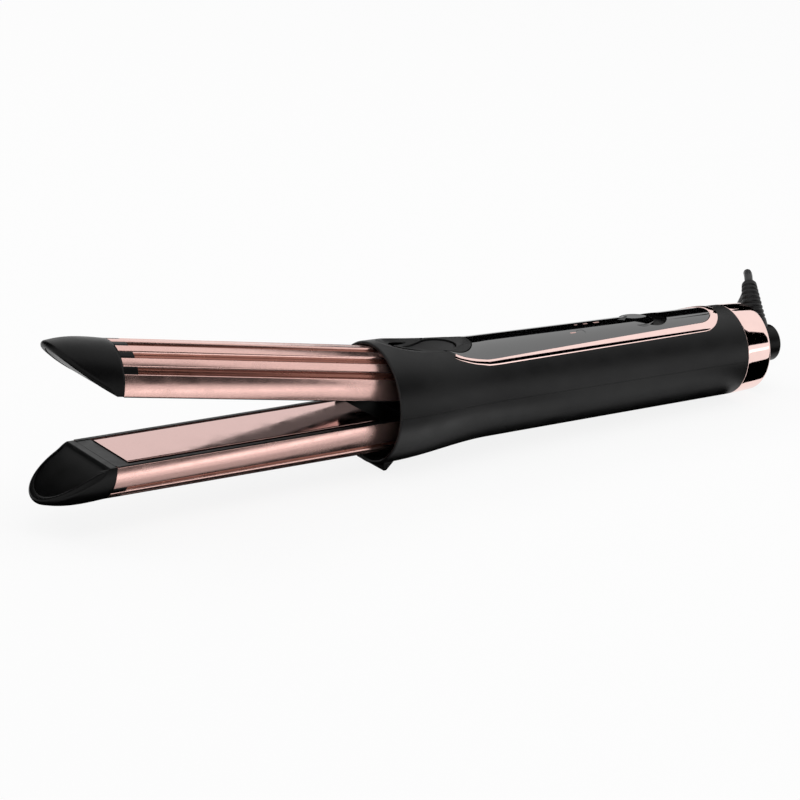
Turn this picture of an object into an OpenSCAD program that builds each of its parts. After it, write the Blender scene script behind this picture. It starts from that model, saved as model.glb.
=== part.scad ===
// Hair styler with two half-round ribbed arms on a round handle.
// The lower arm is fixed. A spring holds the upper arm open, and the thumb key
// on top of the handle presses it shut.
//
// Two frames are used. The handle frame has its X axis along the handle, with
// x = 0 at the mouth, the arms towards -X and the control panel towards +Z.
// The arm frame has its origin on the hinge pin, the arm towards -X and the
// crown of the half-round towards +Z. rest() sets the handle frame down on the
// surface that the styler stands on.

/* [Arms] */
// Diameter of the round barrel that the two closed arms make
barrel_d = 35.8; // [34.2:0.2:36]
// Length of each arm from the handle's mouth to the fold of its tip
arm_len = 127; // [110:1:140]
// Mean run of the tip's slanted face for each millimetre that it rises
tip_slope = 1.5; // [1.3:0.02:1.7]
// How much the slanted face bulges, as a share of its slope
tip_bulge = 0.53; // [0.3:0.01:0.7]
// Radius that rounds the rim of the tip's slanted face
tip_round = 1.6; // [1.2:0.1:2]
// Wall of the barrel shell
shell_wall = 1.8; // [1.6:0.1:2]
// Number of raised ribs along each barrel shell
rib_count = 5; // [3:1:5]
// Angle from one rib of the upper arm to the next
rib_pitch = 22.2; // [20:0.1:23]
// Angle from one rib of the lower arm to the next
low_rib_pitch = 20; // [19:0.1:23]
// Width of a groove between two ribs
groove_w = 3.4; // [2.4:0.1:3.6]
// Depth of a groove between two ribs
groove_depth = 0.9; // [0.6:0.1:1]
// Length of the tip's fingers that fill the front ends of the grooves
finger_len = 6.3; // [4:0.1:8]

/* [Plates] */
// Length of a heater plate
plate_len = 113; // [95:1:115]
// Width of a heater plate
plate_w = 27.2; // [24:0.2:27.6]
// Thickness of a heater plate
plate_t = 1.6; // [1.4:0.1:1.8]
// Length of a ceramic heater
heater_len = 70; // [50:1:85]
// Width of a ceramic heater
heater_w = 13; // [11:0.5:14]
// Thickness of a ceramic heater
heater_t = 2.4; // [2:0.1:2.6]

/* [Hinge] */
// Angle at which the open upper arm stands above the handle's axis
open_up = 8.4; // [6:0.1:8.6]
// Angle at which the lower arm sits below the handle's axis
set_down = 0.6; // [0:0.1:1]
// Distance of the hinge pin behind the handle's mouth
pivot_x = 46; // [45:0.5:48]
// Distance of the hinge pin below the handle's axis
pivot_drop = 1.8; // [1.8:0.1:2.4]
// Diameter of the hinge pin
pin_d = 4; // [3:0.5:4.5]
// Wire of the spring that opens the upper arm
spring_wire = 0.9; // [0.7:0.1:1]
// Outer diameter of that spring
spring_d = 8; // [7:0.5:8.5]

/* [Handle] */
// Length of the handle from its mouth to the end ring
handle_len = 178.5; // [174:0.5:186]
// Diameter of the handle behind its flared mouth
handle_d = 41.8; // [41.4:0.2:43]
// Diameter of the handle where it meets the end ring
ring_d = 38.6; // [38:0.2:39.4]
// How much the mouth's radius flares
flare = 3.3; // [3.2:0.1:3.6]
// Length over which the mouth flares
flare_len = 47; // [42:1:50]
// Wall of the handle's housings
wall = 2.2; // [2:0.1:2.4]
// Wall of the lip at the mouth
lip_wall = 1.6; // [1.4:0.1:1.7]
// Depth of the stand foot below the handle's axis
foot_drop = 26.1; // [25.8:0.1:27]
// Width of the stand foot
foot_w = 20; // [16:1:24]
// Length of the end ring
ring_len = 13; // [11:0.5:15]

/* [Controls] */
// Length of the thumb key
key_len = 24; // [21:0.5:25]
// Width of the thumb key
key_w = 15.2; // [13:0.2:15.6]
// Distance of the thumb key's round end behind the mouth
key_end = 38; // [37:0.5:38.5]
// Width of the control panel behind the tongue
panel_w = 27.8; // [26:0.2:28.4]
// Width of the control panel's rear end
panel_rear_w = 19.4; // [18:0.2:20]
// Length of bare handle between the control panel and the end ring
panel_rest = 10.5; // [10:0.5:12.5]
// Width of the metal trim beside the panel at the front
trim_w = 1.9; // [1.5:0.1:2.2]
// Width of the metal trim round the panel's rear end
trim_rear_w = 3.7; // [3:0.1:3.8]
// Thickness of the panel and the trim
panel_t = 1.2; // [1:0.1:1.4]
// Length of the slider's recess in the panel
recess_len = 24; // [24:0.5:26]
// Width of the slider's recess in the panel
recess_w = 16.6; // [16.2:0.2:17]
// Distance from the recess's pointed end to the control panel's rear end
recess_rest = 46.5; // [45:0.5:49]
// Length of the slider knob
knob_len = 17; // [16:0.5:17.5]
// Travel of the slider knob
slider_travel = 5; // [4:0.5:5.5]

/* [Swivel] */
// Diameter of the swivel hub
hub_d = 16; // [15:0.5:17]
// Length of the swivel hub behind the end ring
hub_len = 15; // [14:0.5:16]
// Diameter of the swivel's shaft
shaft_d = 10; // [9:0.5:11]
// Angle at which the strain relief leans away from straight up
relief_lean = 21; // [15:1:27]

/* [Cord] */
// Diameter of the mains cord
cord_d = 3.6; // [3.4:0.1:3.7]
// Length of a straight run of the folded cord
hank_run = 72; // [64:1:74]
// Loops in each layer of the folded cord
hank_loops = 3; // [2:1:3]
// Distance from one loop of the folded cord to the next
hank_pitch = 4.3; // [4.2:0.1:4.6]

/* [Hidden] */

// Colours
BLACK = [0.10, 0.10, 0.10];
GLOSS = [0.03, 0.03, 0.035];
ROSE = [0.78, 0.56, 0.51];
PLATE = [0.82, 0.68, 0.65];
STEEL = [0.70, 0.71, 0.73];
BRASS = [0.80, 0.66, 0.35];
BOARD = [0.10, 0.34, 0.20];
CERAMIC = [0.88, 0.86, 0.80];
COPPER = [0.75, 0.12, 0.10];

$fn = 64;
eps = 0.05;            // overlap of cutters past a face
seat = 0.05;           // gap between two parts that seat on each other
gap = 0.3;             // gap between parts that only lie near each other
run_fit = 0.05;        // radial clearance of a running shaft

// Arm, in the arm frame
barrel_r = barrel_d / 2;
edge_gap = 0.5;        // from the closing plane to the edge of a shell
face_gap = 0.1;        // from the closing plane to the face of a plate
frame_r = barrel_r - shell_wall - seat;
frame_top = edge_gap + 0.4;
groove_count = rib_count + 1;
groove_floor = 0.75;   // width of a groove's floor as a share of its mouth
fold_x = -(pivot_x + arm_len);
shell_front = fold_x + 2.7;
shell_rear = -pivot_x + 9;
plate_front = fold_x + 9.1;
plate_seat = face_gap + plate_t;
heater_front = plate_front + (plate_len - heater_len) / 2;
clip_rise = 0.8;       // height of the bowed clip that presses a heater
heater_floor = plate_seat + heater_t + clip_rise;
hollow_floor = heater_floor + 1.5;
frame_wall = 1.6;
tip_spigot = 7;        // how far the tip's plug goes into the shell
nose_rise = barrel_r - tip_round - edge_gap;
tip_len = shell_front - fold_x + face_run(nose_rise) - tip_round * (face_norm(nose_rise) - 1);
tip_swell = 1.5;       // how the tip's crown swells behind its nose
tip_draw = 3.6;        // how the crown is drawn in at the nose
nose = rim_point(90);
inlay_margin = 0.6;    // flat left round the tip's inlay
rim_start = asin((edge_gap + tip_round) / (barrel_r - tip_round));
inlay_t = 1.2;
inlay_sink = 0.35;     // depth of the inlay's face below the slanted face

// Hinge, in the arm frame
lug_r = 5;
lug_y = [6.5, 10.5];   // nearer and further side of an upper lug
ear_y = [10.8, 15.2];  // nearer and further side of a lower ear
bush_r = pin_d / 2 + 1.2;
tail_rear = 14;        // end of the lower frame behind the pin
lever_end = -6;        // end of the upper frame's lever ahead of the pin
lever_h = 9;           // height of the upper frame's lever
lever_front = shell_rear;
lead_y = 7.2;          // distance of an arm's leads from its middle
lead_z = 7.25;
lead_r = 0.65;
swing = open_up + set_down;

// Spring, in the handle frame
spring_x = pivot_x - 16.3;
spring_r = spring_d / 2;
pocket_r = spring_r + 0.6;
lever_pocket_r = spring_r + 1.4;
pocket_depth = 8;
lever_pocket = 6;
spring_low = -pivot_drop - pocket_depth;
spring_high = -pivot_drop + (pivot_x - spring_x) * sin(open_up) + lever_pocket - 0.8;
spring_turns = 6;

// Handle
lip_front = -1.6;
flare_x = 5;
mouth_r = handle_d / 2 + flare;
pocket_in = panel_t + seat;
foot_len = 1.2;
foot_x = 1.2;
half_gap = 0.1;        // gap between the two housings at their seam
rest_tilt = atan((foot_drop - ring_d / 2) / (handle_len - foot_x));
rest_rise = foot_drop * cos(rest_tilt) + foot_x * sin(rest_tilt);
saddle_x = [18, 52];
saddle_t = 2;
frame_screw_x = 36;
screw_x = [67, handle_len - 17.5];
boss_r = 3.4;
low_boss_r = 4.6;
screw_r = 1.45;
head_r = 2.7;
head_z = -12;
frame_head_z = 2.5 - handle_r(frame_screw_x);
board_x = [screw_x[0] + 8, handle_len - 25.5];
board_w = 22;
board_z = 4;
board_t = 1.6;
board_top = board_z + board_t;

// Thumb key
key_r = key_w / 2;
key_c = key_end - key_r;
dish_r = 82;           // radius of the dish that the key lies in
dish_z = 20;           // height of the bottom of the dish
key_sink = 0.5;        // depth of the key's face below the dish
key_low = 17;
key_flange = 1.2;
key_gap = 0.4;
well_z = 17.6;         // underside of the housing round the key
leg_r = 2;
leg_x = pivot_x - 18.5;
lever_top = -pivot_drop + (pivot_x - leg_x) * sin(open_up) + lever_h / cos(open_up);
leg_low = lever_top + gap + 0.15;

// Control panel, seen from above
tongue_r = 10.3;
tongue_c = 34.6;
tongue_gap = 0.5;
panel_wide_x = 46;
panel_end = handle_len - panel_rest;
panel_rear_r = panel_rear_w / 2;
panel_rear_c = panel_end - panel_rear_r;
trim_rear_r = panel_rear_r + trim_rear_w;
trim_proud = 0.35;
lens_x = 98;
lens_y = -6.3;
recess_x = panel_end - recess_rest;
recess_r = recess_w / 2;
recess_depth = 2.6;
recess_floor = 1.6;
knob_gap = 0.6;        // from the knob's sides to the recess
knob_rear_r = 10;
knob_c = recess_x + 9.5;
knob_top = 0.5;        // depth of the knob's rim below the panel's surface
knob_dish_r = 26;
slot_w = 5;
stem_x = knob_c - 0.5;
stem_l = 5;
stem_foot_z = [-2.3, -1.1] + [1, 1] * (handle_r(knob_c) - recess_depth - recess_floor);
switch_z = board_top + 5.4;
stem_end_z = switch_z - 1.6;

// Things on the board: the free length is shared out between them
switch_l = 14;
switch_front = stem_x - switch_l / 2;
post_x = [board_x[0] + 5, stem_x - 11.5];
post_y = 7;
triac_l = 10;
triac_tab = 6;
capacitor_l = 6;
board_spare = switch_front - post_x[0] - 3 - triac_l - triac_tab - capacitor_l;
triac_x = post_x[0] + 3 + 0.38 * board_spare;
capacitor_x = triac_x + triac_l + triac_tab + 0.11 * board_spare;
terminal_x = board_x[1] - 8;
terminal_l = 7;

// Rear end and swivel
cap_r = ring_d / 2 - 2.4;
cap_rear = handle_len + ring_len - 1;
cap_inner = handle_len + 5.5;
spigot_in = 8;
ring_lip = 2.4;
shaft_r = shaft_d / 2;
hub_r = hub_d / 2;
hub_front = handle_len + ring_len + gap;
hub_rear = hub_front + hub_len;
hub_mid = hub_rear - 7.7;
ring_rear_r = ring_d / 2 - ring_len * tan(rest_tilt) - 0.05;
cap_front = cap_rear - 2.5;
clip_t = 0.6;
clip_x = cap_inner - 0.15 - clip_t;
shaft_front = cap_inner - 8.5;
contact_x = [cap_inner - 6.6, cap_inner - 3.4];
contact_w = 1.6;
contact_r = shaft_r + 1;
relief_root = 4.9;     // radius of the relief where it leaves the hub
relief_tip = 3.2;      // radius of the relief's free end
relief_straight = 14;  // distance from the hub's axis to the start of the bend
relief_bend = 45;
relief_bend_r = 17;
relief_rings = 8;
relief_sides = 16;

// Directions of the relief in the handle frame: out of the hub, and away behind
relief_out = [0, sin(relief_lean), cos(relief_lean)];
away_raw = [0.66, 0.70, -0.27];
away_part = away_raw - relief_out * (away_raw * relief_out);
relief_away = away_part / norm(away_part);

// Where the whole stands
rest_front = min(rest_point(lower_point(nose - [tip_round, 0, 0]))[0],
    rest_point(upper_point(nose - [tip_round, 0, 0]))[0]);
rest_rear = rest_point([hub_rear, 0, 0])[0];
rest_mid = (rest_front + rest_rear) / 2;

// Cord: its free route above and on the surface, from the relief to the folded
// length, and from there to the plug
cord_sides = 8;
cord_r = cord_d / 2;
cord_down = [
    [181, 20.8, 44.3], [184.5, 26.3, 43.2], [187.5, 31, 39.4], [189.8, 34.8, 34.5], [191.7, 38.3, 29.5],
    [193.6, 42, 24], [196, 47, 17.6], [197.8, 52, 13.8], [199.2, 56.8, 9.4], [199.9, 61.5, 5.2],
    [199.3, 66.3, 2.4], [196.2, 71.4, 1.8], [190.6, 75.2, 1.8], [183, 77.2, 1.8], [173, 77.6, 1.8],
    [164, 77.4, 1.8], [155, 77.2, 1.8], [146, 77.1, 1.8], [137, 77, 1.8], [128, 76.9, 1.8]];
tail_up = [[117.2, 24.7, 6], [121.4, 26.6, 6.2], [124.8, 29.4, 6.4], [127.8, 32.6, 6.6], [131, 35.6, 6.8],
    [134.2, 37.4, 6.85], [137, 38, 6.85]];

// Folded cord, lying behind the handle in line with it
hank_mid = [73, 50];
hank_sides = 6;
hank_rings = 24;
hank_inner = 3.9 * cord_d;
hank_waist = 3;
hank_lift = 0.55;      // rise of the waist over the tie
layer_rise = cord_d + 0.45;
hank_turns = 2 * hank_loops - 7 / 24;
tie_t = 0.5;
tie_w = 6;

// Plug, lying beside the folded cord
plug_at = [140, 38];
plug_body_l = 24;      // length of the plug's full width
plug_neck_l = 12;
plug_wide = 35.3;
plug_thick = 13.7;
plug_pin_r = 2;
plug_pin_len = 19;
plug_pin_pitch = 19;
plug_shank_r = 1.5;    // radius of a pin inside the body
plug_shoulder = 0.3;   // from the body to the pin's full thickness

// ---------------------------------------------------------------- functions

function clamp01(t) = max(0, min(1, t));
function smooth(t) = t * t * (3 - 2 * t);

// Tip's slanted face at height t over the shell's edge: how far it runs ahead of the
// fold, the run for the next millimetre, and the face's length for each millimetre
function face_run(t) = tip_slope * t * (1 + tip_bulge * (1 - t / nose_rise));
function face_rate(t) = tip_slope * (1 + tip_bulge * (1 - 2 * t / nose_rise));
function face_norm(t) = norm([1, face_rate(t)]);

// A point d inside the slanted face at height t, as [x, z]
function face_point(t, d) = [fold_x - face_run(t) + d / face_norm(t), edge_gap + t + d * face_rate(t) / face_norm(t)];

// Radius of the tip's crown at x
function crown_r(x) = let (u = (shell_front - x) / tip_len) barrel_r + tip_swell * u - tip_draw * pow(u, 3);

// Middle of the circle that rounds the tip's rim at angle a round the arm
function rim_point(a) = let (t = (barrel_r - tip_round) * sin(a) - edge_gap,
        x = fold_x - face_run(t) + tip_round * face_norm(t), r = crown_r(x) - tip_round)
    [x, r * cos(a), r * sin(a)];

// Outline of the tip's inlay seen along the arm, m inside the flat of the face, as [y, z]
function inlay_point(a, m) = let (q = rim_point(a), t = q[2] - edge_gap, n = face_norm(t))
    [q[1] - m * cos(a), q[2] - tip_round * face_rate(t) / n - m * sin(a) / n];

// Outer radius of the handle at x
function handle_r(x) = handle_d / 2
    + (ring_d - handle_d) / 2 * (x - flare_x - flare_len) / (handle_len - flare_x - flare_len)
    + flare * (1 - smooth(clamp01((x - flare_x) / flare_len)));

// Wall of the housings at x: thin at the lip, full further in
function wall_at(x) = lip_wall + (wall - lip_wall) * clamp01((x - 4) / 16);

// Stations along the handle between x0 and x1, closer where it flares
function stations(x0, x1) = concat([x0],
    [for (x = [4 : 4 : 60]) if (x > x0 + 1 && x < x1 - 1) x], [x1]);

// A point of the handle frame, set down at rest
function rest_point(p) = [p[0] * cos(rest_tilt) + p[2] * sin(rest_tilt), p[1],
    -p[0] * sin(rest_tilt) + p[2] * cos(rest_tilt) + rest_rise];
// Points of the arm frame, in the handle frame
function upper_point(p) = [p[0] * cos(open_up) + p[2] * sin(open_up) + pivot_x, p[1],
    -p[0] * sin(open_up) + p[2] * cos(open_up) - pivot_drop];
function lower_point(p) = [p[0] * cos(set_down) + p[2] * sin(set_down) + pivot_x, p[1],
    p[0] * sin(set_down) - p[2] * cos(set_down) - pivot_drop];

// Half width of the panel's straight sides at x, seen from above
function panel_half(x) = panel_w / 2
    + (panel_rear_w - panel_w) / 2 * (x - panel_wide_x) / (panel_rear_c - panel_wide_x);
function trim_half(x) = panel_half(x)
    + trim_w + (trim_rear_w - trim_w) * (x - panel_wide_x) / (panel_rear_c - panel_wide_x);

// Unit vector of v, and the frame of a sweep at point i of a route
function unit(v) = v / norm(v);
function heading(p, i) = let (n = len(p) - 1)
    unit(i == 0 ? p[1] - p[0] : i == n ? p[n] - p[n - 1] : unit(p[i + 1] - p[i]) + unit(p[i] - p[i - 1]));
// Each ring's side vector is the one before it, turned as little as possible
function next_side(side, t) = unit(side - t * (side * t));
function sides_from(p, side, i = 0) = i == len(p) ? [] :
    let (s = next_side(side, heading(p, i))) concat([s], sides_from(p, s, i + 1));

// Route of the relief in the handle frame: straight, then an even bend
function relief_point(a) = [hub_mid, 0, 0] + relief_out * (relief_straight + relief_bend_r * sin(a))
    + relief_away * relief_bend_r * (1 - cos(a));
relief_route = concat([[hub_mid, 0, 0] + relief_out * (hub_r - 3), [hub_mid, 0, 0] + relief_out * hub_r],
    [for (i = [0 : relief_rings - 1]) relief_point(relief_bend * i / (relief_rings - 1))]);
relief_heading = relief_out * cos(relief_bend) + relief_away * sin(relief_bend);
relief_far = rest_point(relief_point(relief_bend)) - [rest_mid, 0, 0];
relief_dir = rest_point(relief_heading) - rest_point([0, 0, 0]);

// Folded cord: a stadium of half width w whose long sides draw in at the waist
function waist(x) = hank_waist * pow(1 - pow(min(1, abs(x) / (hank_run / 2)), 2), 2);
fold_u = 7 / 24;       // share of a loop that each of its two folds takes
run_u = 5 / 24;        // share that each of its two straight runs takes
function loop_point(u, w) =
    u < run_u ? let (x = hank_run * (0.5 - u / run_u)) [x, w - waist(x)] :
    u < 0.5 ? let (a = 90 + 180 * (u - run_u) / fold_u) [-hank_run / 2 + w * cos(a), w * sin(a)] :
    u < 0.5 + run_u ? let (x = hank_run * ((u - 0.5) / run_u - 0.5)) [x, -w + waist(x)] :
    let (a = -90 + 180 * (u - 0.5 - run_u) / fold_u) [hank_run / 2 + w * cos(a), w * sin(a)];
// Half width in from the outside, then out again, and the climb to the top layer
function hank_width(s) = hank_inner + hank_pitch * abs(hank_loops - s);
function hank_height(s, x) = cord_r + hank_lift * waist(x) / hank_waist
    + layer_rise * smooth(clamp01((s - hank_loops + 0.15) / 0.3));
function hank_point(s) = let (q = loop_point(s - floor(s), hank_width(s)))
    [hank_mid[0] + q[0], hank_mid[1] + q[1], hank_height(s, q[0])];
hank_route = concat([hank_point(0) + [cord_d, 0, 0]],
    [for (i = [0 : floor(hank_turns * hank_rings)]) hank_point(i / hank_rings)],
    [hank_point(hank_turns) + [cord_d, 0, 0]]);
run_route = concat([relief_far + relief_dir * 0.05, relief_far + relief_dir * cord_d], cord_down,
    [hank_route[0] + [cord_d, 0, 0], hank_route[0] + [0.05, 0, 0]]);
tail_route = concat([hank_route[len(hank_route) - 1] + [0.05, 0, 0]], tail_up,
    [[plug_at[0] - 0.05, plug_at[1], plug_thick / 2]]);

// Lengths and the least gap of the folded cord to itself
function length_of(p, i = 0) = i >= len(p) - 1 ? 0 : norm(p[i + 1] - p[i]) + length_of(p, i + 1);
hank_gaps = [for (i = [0 : len(hank_route) - 1]) for (j = [i + 6 : 1 : len(hank_route) - 1])
    norm(hank_route[i] - hank_route[j]) - cord_d];
echo(least_gap_of_the_folded_cord = min(hank_gaps));
echo(length_of_the_folded_cord = length_of(hank_route));
echo(length_of_the_free_cord = length_of(run_route) + length_of(tail_route));
echo(rest_tilt = rest_tilt, rest_rise = rest_rise, rest_mid = rest_mid);
echo(relief_far = relief_far, relief_dir = relief_dir, tail_start = tail_route[0]);
echo(lever_top = lever_top, spring_low = rest_point([spring_x, 0, spring_low]));

// ------------------------------------------------------------------ helpers

// Handle frame set down on the surface, with the middle of the styler at x = 0
module rest() {
    translate([-rest_mid, 0, rest_rise]) rotate([0, rest_tilt, 0]) children();
}

module upper_arm() {
    rest() translate([pivot_x, 0, -pivot_drop]) rotate([0, open_up, 0]) children();
}

module lower_arm() {
    rest() translate([pivot_x, 0, -pivot_drop]) rotate([0, -set_down, 0]) mirror([0, 0, 1]) children();
}

// A section drawn in Y and Z, carried along X from x0 to x1
module along_x(x0, x1) {
    translate([x0, 0, 0]) rotate([90, 0, 90]) linear_extrude(x1 - x0) children();
}

module rod_x(x0, x1, r) {
    translate([x0, 0, 0]) rotate([0, 90, 0]) cylinder(h = x1 - x0, r = r);
}

module rod_y(y0, y1, r) {
    translate([0, y1, 0]) rotate([90, 0, 0]) cylinder(h = y1 - y0, r = r);
}

// A block from one corner to the other
module block(a, b) {
    translate(a) cube(b - a);
}

// A skin that follows the handle's surface between two depths below it
module handle_skin(x0, x1, outer, inner) {
    xs = stations(x0, x1);
    n = len(xs) - 1;
    rotate([0, 90, 0]) rotate_extrude() polygon(concat(
        [for (x = xs) [handle_r(x) - outer, x]],
        [for (i = [n : -1 : 0]) [handle_r(xs[i]) - inner, xs[i]]]));
}

// The room inside the handle's housings
module handle_room(x0, x1, inset = 0) {
    xs = stations(x0, x1);
    rotate([0, 90, 0]) rotate_extrude() polygon(concat([[0, x0]],
        [for (x = xs) [handle_r(x) - wall_at(x) - inset, x]], [[0, x1]]));
}

// Points of an arc about [cx, 0] from angle a0 to a1, about 8 degrees apart
function arc_points(cx, r, a0, a1) = let (n = ceil(abs(a1 - a0) / 8))
    [for (i = [0 : n]) let (a = a0 + (a1 - a0) * i / n) [cx + r * cos(a), r * sin(a)]];

// A drop with its round end at the origin and its point towards -X
module drop2d(r, reach) {
    b = 180 - acos(r / reach);
    polygon(concat([[-reach, 0]], arc_points(0, r, -b, b)));
}

module tongue2d(grow = 0) {
    translate([tongue_c, 0]) circle(tongue_r + grow);
}

// An outline from above: its front half given, straight sides and a round rear
module outline(front, half, rear_x, rear_r) {
    near = concat(front, [[panel_wide_x, half]]);
    n = len(near) - 1;
    polygon(concat([for (q = near) [q[0], -q[1]]], arc_points(rear_x, rear_r, -88, 88),
        [for (i = [n : -1 : 0]) near[i]]));
}

// The panel's outline from above, before the tongue bites into it
module panel_outline() {
    outline([[29.5, 9.5], [31.5, 11], [34.7, 12.5], [40, 13.4]], panel_half(panel_wide_x), panel_rear_c, panel_rear_r);
}

module trim_outline(grow = 0) {
    outline([[28, 10.2 + grow], [31, 13.4 + grow], [36, 14.8 + grow]], trim_half(panel_wide_x) + grow,
        panel_rear_c, trim_rear_r + grow);
}

module recess2d(grow = 0) {
    translate([recess_x + recess_len - recess_r, 0]) drop2d(recess_r + grow, recess_len - recess_r + grow);
}

module lens2d(grow = 0) {
    translate([lens_x, lens_y]) {
        for (x = [-0.6, 0.6]) translate([x, 0]) circle(1.3 + grow);
        square([1.2, 2.6 + 2 * grow], center = true);
    }
}

// A round wire from point to point, with a ball at each corner
module wire(p, r) {
    for (i = [0 : len(p) - 2]) {
        d = p[i + 1] - p[i];
        translate(p[i]) rotate([0, acos(d[2] / norm(d)), atan2(d[1], d[0])]) cylinder(h = norm(d), r = r);
        if (i > 0) translate(p[i]) sphere(r);
    }
}

// A tube or tapered rod swept along a route, with one radius for each point
module sweep(p, radii, sides, side = [0, 0, 1], turn = 0) {
    s = sides_from(p, side);
    n = len(p);
    points = [for (i = [0 : n - 1]) for (k = [0 : sides - 1])
        let (t = heading(p, i), a = 360 * k / sides + turn)
        p[i] + radii[i] * (s[i] * cos(a) + cross(t, s[i]) * sin(a))];
    skin = [for (i = [0 : n - 2]) for (k = [0 : sides - 1])
        let (a = i * sides + k, b = i * sides + (k + 1) % sides)
        each [[a, a + sides, b], [b, a + sides, b + sides]]];
    ends = [for (k = [1 : sides - 2]) each
        [[0, k, k + 1], [(n - 1) * sides, (n - 1) * sides + k + 1, (n - 1) * sides + k]]];
    polyhedron(points = points, faces = concat(skin, ends));
}

// --------------------------------------------------------- arm, in its frame

// Mouth of groove i: a slot that narrows towards its floor
module groove2d(i, pitch, reach = 1) {
    a = 90 + (i - (groove_count - 1) / 2) * pitch;
    w = groove_w / 2;
    rotate(a) polygon([[barrel_r - groove_depth, -w * groove_floor], [barrel_r + reach, -w * (1 + 0.3 * reach)],
        [barrel_r + reach, w * (1 + 0.3 * reach)], [barrel_r - groove_depth, w * groove_floor]]);
}

module half_disc(r, low) {
    intersection() {
        circle(r);
        translate([-r - 1, low]) square([2 * r + 2, r + 1]);
    }
}

module barrel_shell(pitch) {
    along_x(shell_front, shell_rear) difference() {
        half_disc(barrel_r, edge_gap);
        circle(barrel_r - shell_wall);
        for (i = [0 : groove_count - 1]) groove2d(i, pitch);
    }
}

// Slab that follows the tip's slanted face between two depths below it
module face_slab(d0, d1) {
    ts = [for (i = [0 : 14]) -1.5 + (nose_rise + 3) * i / 14];
    rotate([90, 0, 0]) linear_extrude(80, center = true) polygon(concat(
        [for (t = ts) face_point(t, d0)], [for (i = [14 : -1 : 0]) face_point(ts[i], d1)]));
}

module inlay2d(grow = 0) {
    m = inlay_margin - grow;
    right = [for (i = [0 : 12]) inlay_point(rim_start + (90 - rim_start) * i / 12, m)];
    intersection() {
        polygon(concat([[right[0][0], 0]], right, [for (i = [11 : -1 : 0]) [-right[i][0], right[i][1]]],
            [[-right[0][0], 0]]));
        translate([-40, edge_gap + 0.35 - grow / 2]) square(80);
    }
}

module tip_form() {
    steps = 7;
    intersection() {
        along_x(nose[0] - 10, shell_front) square([4 * barrel_r, 4 * barrel_r], center = true);
        hull() {
            along_x(fold_x, shell_front) half_disc(barrel_r, edge_gap);
            for (i = [0 : steps]) {
                q = rim_point(rim_start + (90 - rim_start) * i / steps);
                for (m = [0, 1]) mirror([0, m, 0]) translate(q) sphere(tip_round, $fn = 12);
                along_x(q[0], q[0] + 0.1) half_disc(crown_r(q[0]), q[2]);
            }
        }
    }
}

module arm_tip(pitch) {
    difference() {
        tip_form();
        intersection() {
            along_x(nose[0] - 10, fold_x + 1.6) inlay2d();
            face_slab(-5, inlay_sink + inlay_t + seat);
        }
    }
    along_x(shell_front, shell_front + tip_spigot) difference() {
        half_disc(frame_r, frame_top + 2);
        half_disc(frame_r - 3, frame_top + 5);
    }
    along_x(shell_front, shell_front + finger_len) intersection() {
        circle(barrel_r);
        union() {
            for (i = [0 : groove_count - 1]) groove2d(i, pitch);
        }
    }
}

module tip_inlay() {
    intersection() {
        along_x(nose[0] - 10, fold_x + 1.6 - seat) inlay2d(-0.12);
        face_slab(inlay_sink, inlay_sink + inlay_t);
    }
}

// Front of an arm's frame, flush with the flat of the tip
module front_pad() {
    along_x(shell_front + seat, plate_front - 0.3) intersection() {
        half_disc(frame_r, edge_gap);
        translate([-frame_r, 0]) square([2 * frame_r, frame_top + 1]);
    }
}

// Section of an arm's frame: half-round, with room for the plate, the heater and the leads
module frame2d() {
    difference() {
        half_disc(frame_r, frame_top);
        translate([-plate_w / 2 - 0.4, 0]) square([plate_w + 0.8, plate_seat]);
        half_disc(frame_r - frame_wall, hollow_floor);
    }
}

module heater_pocket() {
    block([heater_front - 2, -heater_w / 2 - 0.3, 0],
        [heater_front + heater_len + 14, heater_w / 2 + 0.3, heater_floor]);
    block([heater_front + heater_len + 6, -4, 0], [heater_front + heater_len + 13, 4, hollow_floor + eps]);
}

module heater_plate() {
    along_x(plate_front, plate_front + plate_len) polygon([
        [-plate_w / 2, plate_seat], [-plate_w / 2, face_gap + 0.4], [-plate_w / 2 + 0.4, face_gap],
        [plate_w / 2 - 0.4, face_gap], [plate_w / 2, face_gap + 0.4], [plate_w / 2, plate_seat]]);
}

module ceramic_heater() {
    block([heater_front, -heater_w / 2, plate_seat], [heater_front + heater_len, heater_w / 2, plate_seat + heater_t]);
}

// Bowed steel strip between a heater and the floor of its pocket
module heater_clip() {
    low = plate_seat + heater_t;
    bows = 4;
    step = heater_len / bows;
    t = 0.35;
    translate([heater_front, 4, 0]) rotate([90, 0, 0]) linear_extrude(8) polygon(concat(
        [for (i = [0 : 2 * bows]) [i * step / 2, i % 2 == 0 ? low : low + clip_rise - t]],
        [for (i = [2 * bows : -1 : 0]) [i * step / 2, i % 2 == 0 ? low + t : low + clip_rise]]));
}

// ------------------------------------------------------------------- nodes

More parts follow.
